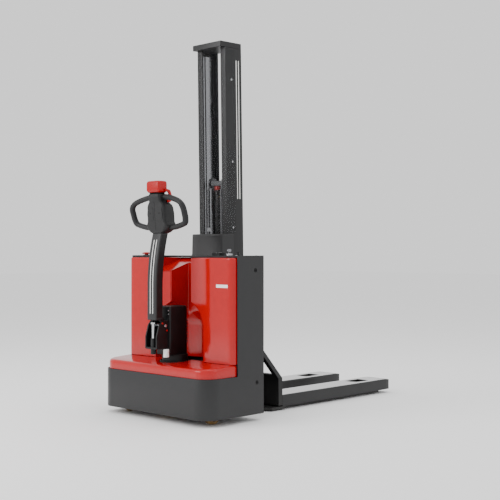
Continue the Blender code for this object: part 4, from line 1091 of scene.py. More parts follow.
    def dress_inside(self) -> None:
        """Finishes for what the covers hide."""
        for node, finish in (("battery_left", CASE_SLATE), ("battery_right", CASE_SLATE),
                             ("pump_unit", BLACK_PLASTIC), ("oil_tank", CHASSIS_GREY),
                             ("motor_controller", CAST_GREY), ("battery_charger", CAST_GREY),
                             ("base_frame", CHARCOAL)):
            self.shop.dress(node, finish)
        for sign, name in SIDES:
            posts = total(lathe([(0, 0.4435), (0.009, 0.4435), (0.009, 0.456), (0.007, 0.458), (0, 0.458)],
                                (sign * x, 0.300, 0), sides=24) for x in (0.250, 0.360))
            self.add("battery_posts_" + name, posts, BRASS)


# ---------------------------------------------------------------- mast
@dataclass
class Mast(Assembly):
    """Channels, cap, guard, cylinder, chains and the rod, in the leaning frame."""

    space: ClassVar[Space] = Space.MAST
    half: float = 0.1127
    depth: float = 0.162
    top: float = 2.0477
    cap: float = 0.030
    setback: float = 0.036
    web: float = 0.008
    flange: float = 0.010
    width: float = 0.040
    foot: float = 0.050
    axis_y: float = 0.086
    barrel_radius: float = 0.024
    barrel_top: float = 1.232
    gland_top: float = 1.2545
    rod_radius: float = 0.0175
    sheave_x: float = 0.051
    sheave_z: float = 1.270
    sheave_radius: float = 0.028
    guard_foot: float = 0.992

    def build(self) -> None:
        """Build every piece of the mast."""
        self.build_channels()
        self.build_cap()
        self.build_guard()
        self.build_cylinder()
        self.build_rod()
        self.build_chains()
        self.build_labels()

    def build_channels(self) -> None:
        """The two rolled channels with rounded flange tips, and the bright lanes that the rollers wear."""
        front, rear, half = self.setback, self.depth, self.half
        for sign, name in SIDES:
            corners = [(half, front), (half, rear), (half - self.width, rear),
                       (half - self.width, rear - self.flange), (half - self.web, rear - self.flange),
                       (half - self.web, front + self.flange), (half - self.width, front + self.flange),
                       (half - self.width, front)]
            outline = rounded([(sign * x, y) for x, y in corners], [0.003, 0.003, 0.002, 0.003, 0.006, 0.006,
                    0.003, 0.002], 5)
            top = self.top - self.cap - GAP
            self.add("channel_" + name, prism(outline, self.foot, top), MAST_GREY,
                     replaces=["mast_channel_" + name], slot="grey_paint")
            face = sign * (half - self.web - 0.0001)
            lanes = total(block((face - sign * 0.00015, y0, 0.95), (face, y1, top - 0.02))
                          for y0, y1 in ((front + 0.018, front + 0.046), (front + 0.056, front + 0.098)))
            self.add("roller_lanes_" + name, lanes, GROUND_STEEL)

    def build_cap(self) -> None:
        """The cap plate over the channels, with its bolts."""
        outline = rectangle(self.half, 0.0, self.depth, 0.004, 5)
        self.add("cap_plate", prism(outline, self.top - self.cap, self.top), MAST_GREY, replaces=["mast_cap"],
                 slot="grey_paint", bevel=0.0018)
        bolts = total(hex_bolt((x, y, self.top - 0.0062), "Z", 0.010, 0.006) for x in (-0.085, 0.085)
                      for y in (0.055, 0.140))
        bolts.points[:, 2] = np.minimum(bolts.points[:, 2], self.top)
        self.add("cap_bolts", bolts, ZINC)

    def build_guard(self) -> None:
        """The clear sheet bent round the front of the mast, with its side screws."""
        inner, thick = self.half + GAP, 0.003
        front = self.setback - GAP
        rear = self.setback + 0.062
        plan = rounded([(-inner, rear), (-inner, front), (inner, front), (inner, rear)], [0, 0.003, 0.003, 0],
                       8)
        top = self.top - self.cap - 0.0015
        section = [(0.0, self.guard_foot), (thick, self.guard_foot), (thick, top), (0.0, top)]
        self.add("guard_sheet", wall(plan, section), CLEAR, replaces=["mast_guard"], slot="clear_guard")
        for sign, name in SIDES:
            heads = total(socket_screw((sign * (inner + thick - GAP), 0.078, z), "X", 0.0055, 0.0030, sign)
                          for z in (1.02, 1.385, 1.84))
            self.add("guard_screws_" + name, heads, ZINC)

    def build_cylinder(self) -> None:
        """Barrel, gland, and the hose with its fitting and clamps."""
        r, y = self.barrel_radius, self.axis_y
        barrel = [(0, 0.085), (r - 0.001, 0.085), (r, 0.087), (r, self.barrel_top - 0.03),
                  (r + 0.0018, self.barrel_top - 0.029), (r + 0.0018, self.barrel_top),
                  (r - 0.005, self.barrel_top), (r - 0.005, 0.100), (0, 0.100)]
        self.add("barrel", lathe(barrel, (0, y, 0)), BARREL_BLACK, replaces=["lift_cylinder"],
                 slot="black_plastic")
        inner = self.rod_radius + 0.0004
        gland = [(inner, self.barrel_top + GAP), (0.030, self.barrel_top + GAP),
                 (0.030, self.gland_top - 0.004), (0.0285, self.gland_top - 0.002),
                 (0.0285, self.gland_top - 0.0005), (inner, self.gland_top - 0.0005)]
        self.add("gland_ring", ring_lathe(gland, (0, y, 0)), GLAND_RED, replaces=["cylinder_gland"],
                 slot="gland_red", bevel=0.0006)
        route = smooth_path([(0.022, 0.074, 1.196), (0.030, 0.062, 1.190), (0.032, 0.056, 1.160),
                             (0.031, 0.055, 1.000), (0.031, 0.055, 0.700), (0.031, 0.055, 0.400),
                             (0.031, 0.055, 0.150), (0.026, 0.052, 0.110)], 12)
        self.add("pressure_hose", tube(route, 0.0046, 16), RUBBER, replaces=["lift_hose"], slot="rubber")
        fitting = tube(np.array([(0.0225, 0.0735, 1.196), (0.0285, 0.0645, 1.192)]), 0.0062, 12)
        clamps = total(block((0.024, 0.0497, z), (0.0375, 0.0612, z + 0.012)) for z in (0.32, 0.68, 1.04))
        self.add("hose_fitting", fitting, BRASS)
        self.add("hose_clamps", clamps, BLACK_PLASTIC, bevel=0.001)

    def build_rod(self) -> None:
        """Chromed rod, crosshead, sheave pin and the two sheaves."""
        y = self.axis_y
        rod = disc(self.rod_radius, 0.115, self.gland_top + 0.0004, (0, y, 0))
        self.add("rod_chromed", rod, CHROME, "rod", replaces=["lift_rod"], slot="bright_steel")
        bar = self.sheave_x - 0.009
        body = rounded([(y - 0.026, self.gland_top + 0.0008), (y + 0.026, self.gland_top + 0.0008),
                        (y + 0.026, 1.284), (y - 0.026, 1.284)], 0.004, 4)
        head = prism(body, -bar, bar, "X")
        pin = disc(0.0068, -bar - 0.020, bar + 0.020, (0, y, self.sheave_z), "X", 24)
        self.add("crosshead_block", head, CAST_GREY, "rod", replaces=["crosshead"], slot="cast_grey",
                 bevel=0.001)
        self.add("sheave_pin", pin, GROUND_STEEL, "rod")
        for sign, name in SIDES:
            r, w = self.sheave_radius - 0.0012, 0.007
            section = both_ways([(r, w), (r - 0.005, w), (r - 0.006, w - 0.002), (0.013, w - 0.002),
                                 (0.012, w), (0.0073, w)])
            wheel = ring_lathe(section, (sign * self.sheave_x, y, self.sheave_z), "X", 48)
            self.add("sheave_wheel_" + name, wheel, OILED_STEEL, f"sheave_{name}_body",
                     replaces=["sheave_" + name], slot="dark_steel")

    def link(self, centre: Point, along: Point, width: float, pitch: float) -> Shape:
        """One pair of leaf plates: a waisted outline round two pins, laid along a direction.

        Args:
            centre: middle of the pair.
            along: unit direction of the chain, in the Y-Z plane.
            width: over the plates.
            pitch: between the pins.

        Returns:
            The pair as one solid.
        """
        reach = pitch * 0.5
        half = 0.0024
        outline = [(reach + half * math.cos(t), half * math.sin(t)) for t in np.radians((-80, -40, 0, 40, 80))]
        outline += [(0, half * 0.72)]
        outline += [(-reach + half * math.cos(t), half * math.sin(t))
                    for t in np.radians((100, 140, 180, 220, 260))]
        outline += [(0, -half * 0.72)]
        a = np.array(along, float)
        b = np.array([0.0, -a[2], a[1]])
        return loft([[np.array(centre) + (x, 0.0, 0.0) + a * u + b * v for u, v in outline]
                     for x in (-width / 2, width / 2)])

    def chain_along(self, x: float, path: np.ndarray, pitch: float = 0.0095) -> Shape:
        """Leaf chain along a path in the Y-Z plane: wide and narrow plate pairs in turn.

        Args:
            x: where the chain runs across.
            path: N x 2 points (y, z).
            pitch: between pins.

        Returns:
            Every plate pair on the path.
        """
        step = np.linalg.norm(np.diff(path, axis=0), axis=1)
        run = np.concatenate([[0], np.cumsum(step)])
        count = int(run[-1] // pitch)
        shapes = []
        for i in range(count):
            s = pitch * (i + 0.5)
            here = np.array([np.interp(s, run, path[:, 0]), np.interp(s, run, path[:, 1])])
            ahead = np.array([np.interp(s + 0.002, run, path[:, 0]), np.interp(s + 0.002, run,
                    path[:, 1])]) - here
            ahead /= np.linalg.norm(ahead)
            width = 0.0118 if i % 2 else 0.0078
            shapes.append(self.link((x, here[0], here[1]), (0.0, ahead[0], ahead[1]), width, pitch * 1.02))
        return total(shapes)

    def build_chains(self) -> None:
        """The lift chains: a loop over each sheave and the straight run beside it."""
        mid = self.sheave_radius + 0.0025
        turn = np.radians(np.linspace(180, 0, 25))
        near = self.sheave_z - 0.750
        bend = np.column_stack([self.axis_y + mid * np.cos(turn), self.sheave_z + mid * np.sin(turn)])
        path = np.vstack([[self.axis_y - mid, near + 0.001], bend, [self.axis_y + mid, 0.483]])
        back = self.axis_y - self.sheave_radius - 0.0083
        run = np.array([[back, 0.301], [back, self.sheave_z - self.sheave_radius - 0.001]])
        for sign, name in SIDES:
            x = sign * self.sheave_x
            self.add("leaf_chain_" + name, self.chain_along(x, path), OILED_STEEL, "rod",
                     replaces=["chain_loop_" + name], slot="dark_steel")
            self.add("leaf_run_" + name, self.chain_along(x, run), OILED_STEEL, replaces=["chain_run_" + name],
                     slot="dark_steel")
            anchor = block((x - 0.0058, self.axis_y + self.sheave_radius + 0.0065, 0.4480),
                           (x + 0.0058, self.axis_y + self.sheave_radius + 0.0130, 0.4830))
            self.add("chain_anchor_" + name, anchor, ZINC, "lift_carriage", bevel=0.0008)

    def build_labels(self) -> None:
        """Two plain pinstripes on the outer face of the right channel and a blank plate inside."""
        x = self.half + 0.0001
        stripes = total(block((x, y, 1.18), (x + FILM, y + 0.005, 1.95)) for y in (0.117, 0.135))
        self.add("mast_pinstripes", stripes, PRINT_WHITE)
        plate = block((-0.060, 0.0462, 1.000), (-0.028, 0.0470, 1.022))
        self.add("rating_plate", plate, PRINT_GREY)


# ---------------------------------------------------------------- carriage and forks
@dataclass
class Lift(Assembly):
    """Carriage, fork frame, forks, rollers and the straddle legs under them."""

    body: ClassVar[str] = "lift_carriage"
    spread: float = 0.285
    fork_width: float = 0.170
    top: float = 0.0853
    bottom: float = 0.022
    rear: float = 0.7223
    frame_y: float = 0.2518
    frame_depth: float = 0.0323

    def build(self) -> None:
        """Build the lifting parts and dress the legs."""
        self.build_frame()
        for sign, name in SIDES:
            self.build_fork(sign, name)
            self.build_roller(sign, name)
        self.shop.dress("carriage", CHARCOAL)
        self.shop.dress("straddle_legs", CHARCOAL)
        self.build_welds()

    def build_frame(self) -> None:
        """The A-shaped frame: cross plate, sloping bars and post, cut from one plate."""
        side, shoulder, top, cross = self.spread, 0.176, 0.350, 0.195
        outer = [(side, 0.0235), (side, shoulder), (0.115, top), (-0.115, top), (-side, shoulder),
                 (-side, 0.0235)]
        y0, y1 = self.frame_y, self.frame_y + self.frame_depth
        run = np.array([-0.170, 0.174])
        run /= np.linalg.norm(run)
        foot = np.array([side, shoulder]) - np.array([run[1], -run[0]]) * 0.022
        corner = foot + run * (cross - foot[1]) / run[1]
        peak = foot + run * (0.320 - foot[1]) / run[1]
        post = 0.082
        plate = prism(rounded(outer[:2] + [(side - 0.020, cross), (-side + 0.020, cross)] + outer[4:],
                              [0.002, 0.006, 0, 0, 0.006, 0.002], 4), y0, y1, "Y")
        self.add("frame_cross_plate", plate, CHARCOAL, space=Space.MAST, replaces=["fork_frame"],
                 slot="dark_paint", bevel=0.0012)
        bars = []
        for sign in (-1, 1):
            outline = [(side, shoulder + 0.0004), (0.115, top), (post, top), (post, 0.320), tuple(peak),
                       tuple(corner), (side - 0.0190, cross)]
            bars.append(prism([(sign * x, z) for x, z in outline], y0, y1, "Y"))
        self.add("frame_bars", total(bars), CHARCOAL, space=Space.MAST, bevel=0.0012)
        middle = block((-post, y0, cross), (post, y1, top))
        self.add("frame_post", middle, CHARCOAL, space=Space.MAST, bevel=0.0012)

    def build_fork(self, sign: int, name: str) -> None:
        """One fork: an inverted channel with rounded shoulders, a load-wheel opening and a sloping tip.
        Sections along Y are the same closed outline; near the tip they shrink towards the tip's
        middle line, and between the two ends of the opening the top faces are left out.

        Args:
            sign: -1 for the left side, 1 for the right.
            name: left or right, for the pieces' names.
        """
        middle = sign * (self.spread - self.fork_width / 2)
        half, thick, r = self.fork_width / 2, 0.008, 0.007
        near, far, gap = 1.436, 1.566, 0.042
        top, low = self.top, self.bottom
        shoulder = arc((half - r, top - r), r, 0, 90, 6)
        right = [(half, low), (half, low + 0.02)] + shoulder + [(gap, top)]
        left = [(-x, z) for x, z in reversed(right)]
        inner_right = [(gap, top - thick), (half - thick - 0.004, top - thick),
                       (half - thick, top - thick - 0.004), (half - thick, low)]
        inner_left = [(-x, z) for x, z in reversed(inner_right)]
        section = np.array(right + left + inner_left + inner_right)
        stations = [self.rear, self.rear + 0.02, near, far, 1.640, 1.680]
        stations += list(1.680 + 0.0435 * np.sin(np.radians(np.linspace(0, 90, 9)[1:])))
        rows = []
        for y in stations:
            t = max(0.0, (y - 1.680) / 0.0440)
            narrow = 1 - 0.05 * t ** 2
            level = section[:, 1].copy()
            sink = 0.0035 * t ** 2
            level = low + (level - low) * (1 - sink / (top - low))
            rows.append(np.column_stack([middle + section[:, 0] * narrow, np.full(len(section), y), level]))
        points = np.array(rows)
        count = len(section)
        faces = []
        top_edge = len(right) - 1
        inner_edge = len(right) + len(left) + len(inner_left) - 1
        for i in range(len(stations) - 1):
            for j in range(count):
                k = (j + 1) % count
                if stations[i] == near and j in (top_edge, inner_edge):
                    continue
                faces.append((i * count + j, i * count + k, (i + 1) * count + k, (i + 1) * count + j))
        i0, i1 = stations.index(near), stations.index(far)
        for i in (i0, i1):
            faces.append((i * count + top_edge, i * count + top_edge + 1, i * count + inner_edge,
                          i * count + inner_edge + 1))
        faces.append((i0 * count + top_edge, i0 * count + inner_edge + 1, i1 * count + inner_edge + 1,
                      i1 * count + top_edge))
        faces.append((i0 * count + top_edge + 1, i0 * count + inner_edge, i1 * count + inner_edge,
                      i1 * count + top_edge + 1))
        faces.append(tuple(range(count)))
        last = (len(stations) - 1) * count
        faces.append(tuple(reversed(range(last, last + count))))
        self.add("fork_blade_" + name, Shape(points.reshape(-1, 3), faces), FORK_GREY,
                 replaces=["fork_" + name], slot="grey_paint", bevel=0.0006, segments=1)
        nose = prism([(middle - half + 0.0006, 1.690), (middle + half - 0.0006, 1.690),
                      (middle + half * 0.95 - 0.0006, 1.7239), (middle - half * 0.95 + 0.0006, 1.7239)],
                     low + 0.0006, top - 0.0042)
        self.add("fork_nose_" + name, nose, FORK_GREY)
        wide = half - r
        rim = 0.0006
        plates = ((-wide, self.rear + rim, wide, near - rim), (-wide * 0.97, far + rim, wide * 0.97, 1.690),
                  (-wide, near - rim, -gap - rim, far + rim), (gap + rim, near - rim, wide, far + rim))
        # Thin paler films over the top faces: painted sheen where the light falls on the fork tops
        sheen_films = total(block((middle + x0, y0, top - 0.0001), (middle + x1, y1, top + 0.0003))
                     for x0, y0, x1, y1 in plates)
        self.add("fork_top_sheen_film_" + name, sheen_films, FORK_TOP_SHEEN)

    def build_roller(self, sign: int, name: str) -> None:
        """A mast roller with its outer race, seal and inner ring.

        Args:
            sign: -1 for the left side, 1 for the right.
            name: left or right, for the pieces' names.
        """
        centre = (sign * 0.087, 0.099, 0.400)
        w = 0.014
        race = both_ways([(0.052, w - 0.002), (0.050, w), (0.034, w)])
        seal = sleeve(0.0185, 0.0338, -w + 0.0015, w - 0.0015, centre, "X")
        hub = sleeve(0.0103, 0.0180, -w, w, centre, "X", 32)
        body = f"roller_{name}_body"
        self.add("roller_race_" + name, ring_lathe(race, centre, "X", 64), GROUND_STEEL, body,
                 space=Space.MAST, replaces=["carriage_roller_" + name], slot="bright_steel")
        self.add("roller_seal_" + name, seal, RUBBER, body, space=Space.MAST)
        self.add("roller_hub_" + name, hub, GROUND_STEEL, body, space=Space.MAST)

    def build_welds(self) -> None:
        """Weld beads where the forks meet the frame."""
        beads = []
        for sign in (-1, 1):
            middle = sign * (self.spread - self.fork_width / 2)
            line = np.column_stack([np.linspace(middle - 0.078, middle + 0.078, 40), np.full(40, 0.7222),
                                    np.full(40, self.top - 0.0005)])
            size = 0.0022 + 0.0005 * np.sin(np.linspace(0, 60, 40))
            beads.append(tube(line, size, 10))
        self.add("fork_welds", total(beads), CHARCOAL)


# ---------------------------------------------------------------- drive unit
@dataclass
class DriveUnit(Assembly):
    """The swivelling drive unit with its head cover, bracket, spring and wheel."""

    body: ClassVar[str] = "steering"
    axis_y: float = 0.172
    head_half: float = 0.055
    head_front: float = 0.086
    head_rear: float = 0.228
    head_low: float = 0.338

    pivot_y: float = 0.062
    pivot_z: float = 0.495
    spring_y: float = 0.020

    def build(self) -> None:
        """Build the drive unit's pieces."""
        self.build_cover()
        self.build_bracket()
        self.build_spring()
        self.build_wheel()
        # The gearbox is dressed black so the deck opening round it reads dark: painted shade
        self.shop.dress("drive_gearbox", BLACK_PLASTIC)

    def build_cover(self) -> None:
        """The tall black cover with its screws and vents, the white stub and the collar flange."""
        levels = [(self.head_low, 0.001), (self.head_low + 0.002, 0.0), (0.46, 0.0), (0.58, 0.001)]
        levels += [(0.588 + 0.010 * math.sin(t), 0.001 + 0.010 * (1 - math.cos(t)))
                   for t in np.radians(np.linspace(0, 90, 8))[1:]]
        cover = stacked(((self.head_half - inset, self.head_front + inset, self.head_rear - inset, z,
                          (0.010, 0.010, 0.034, 0.034)) for z, inset in levels), 10)
        self.add("head_cover", cover, BLACK_PLASTIC, replaces=["drive_cover"], slot="black_plastic", angle=45)
        screws = total(socket_screw((x, self.head_front + 0.0006, z), "Y", 0.0042, 0.0030, -1)
                       for x, z in ((0.044, 0.574), (0.044, 0.556), (-0.044, 0.574)))
        self.add("head_screws", screws, ZINC)
        ribs = total(block((-0.040 + 0.0005, self.head_rear - 0.0008, 0.40 + 0.016 * i),
                           (0.040, self.head_rear + 0.0008, 0.408 + 0.016 * i)) for i in range(8))
        self.add("head_vents", ribs, BLACK_PLASTIC, bevel=0.0005, segments=1)
        stub = lathe([(0, 0.3290), (0.0145, 0.3290), (0.0155, 0.3300), (0.0155, 0.3700), (0.0145, 0.3712),
                      (0, 0.3712)], (0.047, 0.0680, 0), sides=40)
        self.add("brake_stub", stub, PRINT_WHITE, angle=30)
        ring = ring_lathe([(0.056, 0.3385), (0.0705, 0.3320), (0.0705, 0.3345), (0.056, 0.3410)],
                          (0, self.axis_y, 0), sides=56)
        self.add("collar_flange", ring, RUBBER)

    def build_bracket(self) -> None:
        """Cheeks of the tiller bracket with rounded corners, joined by a web and a shelf."""
        cheek = rounded([(0.002, 0.374), (0.084, 0.374), (0.084, 0.523), (0.040, 0.523), (0.020, 0.500),
                         (0.002, 0.440)], [0.004, 0.002, 0.004, 0.012, 0.014, 0.010], 6)
        shapes = [prism(cheek, *sorted((s * 0.0382, s * 0.0474)), "X") for s in (-1, 1)]
        web = block((-0.0530, 0.0816, 0.374), (0.0530, 0.0855, 0.522))
        hole = 0.0155
        shelf = total([block((x0, y0, 0.3725), (x1, y1, 0.3830))
                       for x0, x1, y0, y1 in ((-0.0390, -hole, 0.002, 0.0830), (hole, 0.0390, 0.002, 0.0830),
                (-hole, hole, self.spring_y + hole, 0.0830), (-hole, hole, 0.002, self.spring_y - hole))])
        self.add("bracket_cheeks", total(shapes), BLACK_PLASTIC, replaces=["tiller_bracket"],
                 slot="black_plastic", bevel=0.0012)
        self.add("bracket_web", web + shelf, BLACK_PLASTIC, bevel=0.0010)
        pin = lathe(both_ways([(0.0080, 0.0510), (0.0065, 0.0522), (0, 0.0522)]),
                    (0, self.pivot_y, self.pivot_z), "X", 28)
        self.add("pivot_pin", pin, ZINC, replaces=["tiller_pivot_pin"], slot="bright_steel")
        for sign, name in SIDES:
            screws = total(socket_screw((sign * 0.0470, y, z), "X", 0.0050, 0.0045, sign)
                           for y, z in ((0.040, 0.509), (0.072, 0.470)))
            self.add("bracket_screws_" + name, screws, SIGNAL_RED)

    def build_spring(self) -> None:
        """Gas spring: black tube below, chromed rod with its end collar above."""
        tube_profile = [(0, 0.3452), (0.0120, 0.3452), (0.0148, 0.3480), (0.0148, 0.4275), (0.0140, 0.4298),
                        (0.0098, 0.4298), (0.0098, 0.3500), (0, 0.3500)]
        self.add("spring_tube", lathe(tube_profile, (0, self.spring_y, 0), sides=36), BLACK_PLASTIC,
                 replaces=["gas_spring_body"], slot="black_plastic", angle=30)
        rod = [(0, 0.4202), (0.0088, 0.4202), (0.0088, 0.5030), (0.0100, 0.5040), (0.0138, 0.5042),
               (0.0138, 0.5125), (0.0125, 0.5138), (0, 0.5138)]
        self.add("spring_rod_chromed", lathe(rod, (0, self.spring_y, 0), sides=36), CHROME, "spring_rod",
                 replaces=["gas_spring_rod"], slot="bright_steel", angle=30)

    def build_wheel(self) -> None:
        """Drive wheel: polyurethane tread bonded to a cast hub with lugs."""
        centre = (0, self.axis_y, 0.105)
        w, r = 0.035, 0.105
        tread = tyre(0.0842, r, w, (0.0018, 0.0018))
        hub = [(0.0166, -w), (0.050, -w), (0.054, -w + 0.010), (0.078, -w + 0.010), (0.0840, -w), (0.0840, w),
               (0.078, w - 0.004), (0.0166, w - 0.004)]
        self.add("drive_tread", ring_lathe(tread, centre, "X", 96), AMBER_PU, "drive_wheel_body",
                 replaces=["drive_wheel"], slot="polyurethane")
        self.add("drive_hub", ring_lathe(hub, centre, "X", 64), CAST_GREY, "drive_wheel_body")
        nuts = total(hex_bolt((-w + 0.0102, centre[1] + 0.066 * math.cos(t), centre[2] + 0.066 * math.sin(t)),
                              "X", 0.0085, 0.007, -1) for t in np.radians(np.arange(0, 360, 72)))
        self.add("drive_lugs", nuts, ZINC, "drive_wheel_body")


# ---------------------------------------------------------------- tiller
@dataclass
class Tiller(Assembly):
    """Tiller arm, handle head, loops and its controls."""

    body: ClassVar[str] = "tiller"
    pivot_y: float = 0.062
    pivot_z: float = 0.495
    half: float = 0.036
    depth: float = 0.050
    straight_y: float = 0.031
    foot: float = 0.527
    bend: float = 0.700
    top: float = 0.9835
    radius: float = 1.10

    def centre(self, z: float) -> float:
        """Y of the arm's middle line: y = y0 + R - sqrt(R^2 - (z - z0)^2) above the bend."""
        rise = max(0.0, z - self.bend)
        return self.straight_y + self.radius - math.sqrt(self.radius ** 2 - rise ** 2)

    def build(self) -> None:
        """Build the tiller's pieces."""
        self.build_arm()
        self.build_shell()
        self.build_loops()
        self.build_controls()

    def build_arm(self) -> None:
        """The box-section arm with rounded edges, its eye plates and two pinstripes on its face."""
        rings = []
        for z in [self.foot, self.foot + 0.002] + list(np.linspace(self.foot + 0.01, self.top, 40)):
            y, d = self.centre(z), self.depth / 2
            shrink = 0.0015 if z == self.foot else 0.0
            d -= shrink
            rings.append([(x, y + b, z) for x, b in rectangle(self.half - shrink, -d, d, 0.006, 5)])
        self.add("arm_tube", loft(rings), CHASSIS_GREY, replaces=["tiller_arm"], slot="grey_paint", angle=40)
        y, z = self.pivot_y, self.pivot_z
        cheek = rounded([(y - 0.030, z + 0.048), (y - 0.018, z), (y - 0.0140, z - 0.0115),
                         (y - 0.002, z - 0.018), (y + 0.012, z - 0.0115), (y + 0.0175, z),
                         (y + 0.014, z + 0.012), (y - 0.0085, z + 0.048)], 0.004, 4)
        plates = total(prism(cheek, *sorted((s * 0.0272, s * 0.0354)), "X") for s in (-1, 1))
        self.add("arm_eyes", plates, BLACK_PLASTIC, bevel=0.0008)
        foot = rectangle(0.0355, 0.0065, 0.0555, 0.006, 5)
        self.add("arm_foot_cap", prism(foot, self.foot - 0.0015, self.foot + 0.0010), BLACK_PLASTIC)
        strips = []
        for sign in (-1, 1):
            rows = []
            for z in np.linspace(self.foot + 0.012, self.top - 0.006, 40):
                y = self.centre(z)
                out, inn = sign * (self.half + 0.0007), sign * (self.half - 0.001)
                rows.append([(out, y - 0.0185, z), (out, y + 0.0185, z), (inn, y + 0.0190, z),
                             (inn, y - 0.0190, z)])
            strips.append(loft(rows))
        self.add("arm_side_strips", total(strips), BLACK_PLASTIC)
        stripes = total(self.film_shape(x, x + 0.004, 0.560, 0.950) for x in (-0.012, 0.008))
        self.add("arm_pinstripes", stripes, PRINT_WHITE)

    def film_shape(self, x0: float, x1: float, low: float, high: float) -> Shape:
        """A thin film that follows the arm's front face between two heights.

        Args:
            x0: left edge.
            x1: right edge.
            low: lower height.
            high: upper height.

        Returns:
            The film.
        """
        rings = []
        for z in np.linspace(low, high, 30):
            y = self.centre(z) - self.depth / 2
            rings.append([(x0, y - FILM, z), (x1, y - FILM, z), (x1, y + 0.0002, z), (x0, y + 0.0002, z)])
        return loft(rings)

    def build_shell(self) -> None:
        """The handle shell, from its collar up to its neck, with seam, screws and inlays."""
        levels = [(0.040, 0.041, 0.096, 0.9838, 0.018), (0.056, 0.038, 0.104, 0.9900, 0.020),
                  (0.074, 0.0355, 0.112, 1.004, 0.024), (0.0835, 0.034, 0.1165, 1.018, 0.024),
                  (0.0835, 0.0335, 0.1175, 1.031, 0.022), (0.0770, 0.0325, 0.1175, 1.038, 0.020),
                  (0.0725, 0.031, 0.1165, 1.046, 0.020), (0.071, 0.028, 0.115, 1.090, 0.020),
                  (0.0695, 0.0262, 0.109, 1.122, 0.020), (0.0650, 0.0255, 0.104, 1.136, 0.020),
                  (0.0560, 0.0245, 0.098, 1.145, 0.018), (0.0480, 0.022, 0.092, 1.152, 0.016),
                  (0.0450, 0.018, 0.084, 1.168, 0.014), (0.0440, 0.0155, 0.080, 1.186, 0.014),
                  (0.0425, 0.017, 0.0785, 1.1912, 0.014)]
        self.add("head_shell", stacked(levels, 8), HANDLE_GREY, replaces=["handle_shell"],
                 slot="black_plastic", angle=60)
        seam = [[(-0.0009, front - 0.0004, z), (0.0009, front - 0.0004, z), (0.0009, front + 0.002, z),
                 (-0.0009, front + 0.002, z)] for _, front, _, z, _ in levels[2:12]]
        self.add("head_seam", loft(seam), RUBBER)
        screws = total(socket_screw((x, 0.0276, 1.090), "Y", 0.0042, 0.0012, -1) for x in (-0.036, 0.036))
        self.add("head_screws_front", screws, RUBBER)
        wings = []
        for sign in (-1, 1):
            rib = rounded([(0.012, 1.052), (0.056, 1.052), (0.060, 1.085), (0.054, 1.122), (0.012, 1.122)],
                          0.008, 6)
            rows = [[(sign * x, float(np.interp(z, [1.046, 1.090, 1.122], [0.0310, 0.0280, 0.0262])) - lift, z)
                     for x, z in rib] for lift in (-0.001, 0.0012)]
            wings.append(loft(rows))
        self.add("head_inlays", total(wings), HANDLE_GREY, bevel=0.0008)

    def build_loops(self) -> None:
        """Bent-tube loops on both sides, with thicker soft grips on their outer runs."""
        places = [(0.0475, 0.054, 1.1775), (0.094, 0.052, 1.1720), (0.150, 0.047, 1.1580),
                  (0.186, 0.043, 1.1420), (0.204, 0.045, 1.1180), (0.206, 0.055, 1.0860),
                  (0.203, 0.064, 1.0560), (0.188, 0.071, 1.0350), (0.126, 0.074, 1.0190),
                  (0.0800, 0.076, 1.0150)]
        path = smooth_path(places, 12)
        loop = tube(path, 0.0146, 28)
        grip_path = path[40:86]
        swell = 0.0158 + 0.0004 * np.sin(np.linspace(0, math.pi, len(grip_path)))
        swell[0] = swell[-1] = 0.0147
        grip = tube(grip_path, swell, 28)
        for name, bar, sleeve_grip in (("right", loop, grip), ("left", loop.mirrored(), grip.mirrored())):
            self.add("loop_tube_" + name, bar, HANDLE_GREY, replaces=["handle_loop_" + name],
                     slot="black_plastic")
            self.add("loop_grip_" + name, sleeve_grip, GRIP, angle=60)

    def build_controls(self) -> None:
        """Belly button on its bellows, thumb paddles, rocker and small push buttons."""
        low = 1.2005
        levels = ((0.0425, 0.0205, 0.0705, low + 0.012, 0.010), (0.0425, 0.0205, 0.0705, low, 0.010),
                  (0.046, 0.017, 0.0715, low, 0.012), (0.0515, 0.0105, 0.0740, low + 0.008, 0.014),
                  (0.053, 0.009, 0.075, low + 0.016, 0.015), (0.053, 0.009, 0.075, 1.246, 0.015),
                  (0.0515, 0.0105, 0.0738, 1.255, 0.014), (0.0475, 0.0140, 0.0715, 1.2600, 0.012),
                  (0.0400, 0.0200, 0.0660, 1.2620, 0.010))
        self.add("belly_cap", stacked(levels, 8), SIGNAL_RED, "belly", replaces=["belly_button"],
                 slot="red_plastic", angle=60)
        pitch = 0.0012
        folds = [(i, pitch * (i % 2)) for i in range(11)]
        bellows = stacked(((0.0395 + grow, 0.0230 - grow, 0.0680 + grow, 1.1905 + pitch * i, 0.008)
                           for i, grow in folds), 6)
        self.add("belly_bellows", bellows, RUBBER, angle=70)
        outline = rounded([(0.063, 1.149), (0.074, 1.148), (0.087, 1.154), (0.090, 1.185), (0.078, 1.214),
                           (0.050, 1.220), (0.047, 1.208), (0.068, 1.201), (0.0765, 1.180), (0.073, 1.163),
                           (0.063, 1.160)], [0.004, 0.004, 0.008, 0.012, 0.010, 0.005, 0.005, 0.008, 0.008,
                0.004, 0.004], 5)
        blades = total(prism(outline, *sorted((s * 0.0572, s * 0.0688)), "X") for s in (-1, 1))
        shaft = disc(0.0058, -0.060, 0.060, (0, 0.070, 1.154), "X", 24)
        self.add("thumb_blades", blades, SIGNAL_RED, "paddles", replaces=["thumb_paddles"], slot="red_plastic",
                 bevel=0.0016)
        self.add("thumb_shaft", shaft, GROUND_STEEL, "paddles")
        rocker = rounded([(0.1192, 1.0565), (0.1248, 1.0582), (0.1215, 1.076), (0.1248, 1.0938),
                          (0.1192, 1.0955)], [0.001, 0.002, 0.03, 0.002, 0.001], 5)
        self.add("rocker_cap", prism(rocker, -0.020, 0.020, "X"), SIGNAL_RED, "rocker",
                 replaces=["lift_rocker"], slot="black_plastic", bevel=0.0008)
        seat = block((-0.024, 0.1100, 1.052), (0.024, 0.1160, 1.100))
        self.add("rocker_seat", seat, BLACK_PLASTIC, bevel=0.0015)
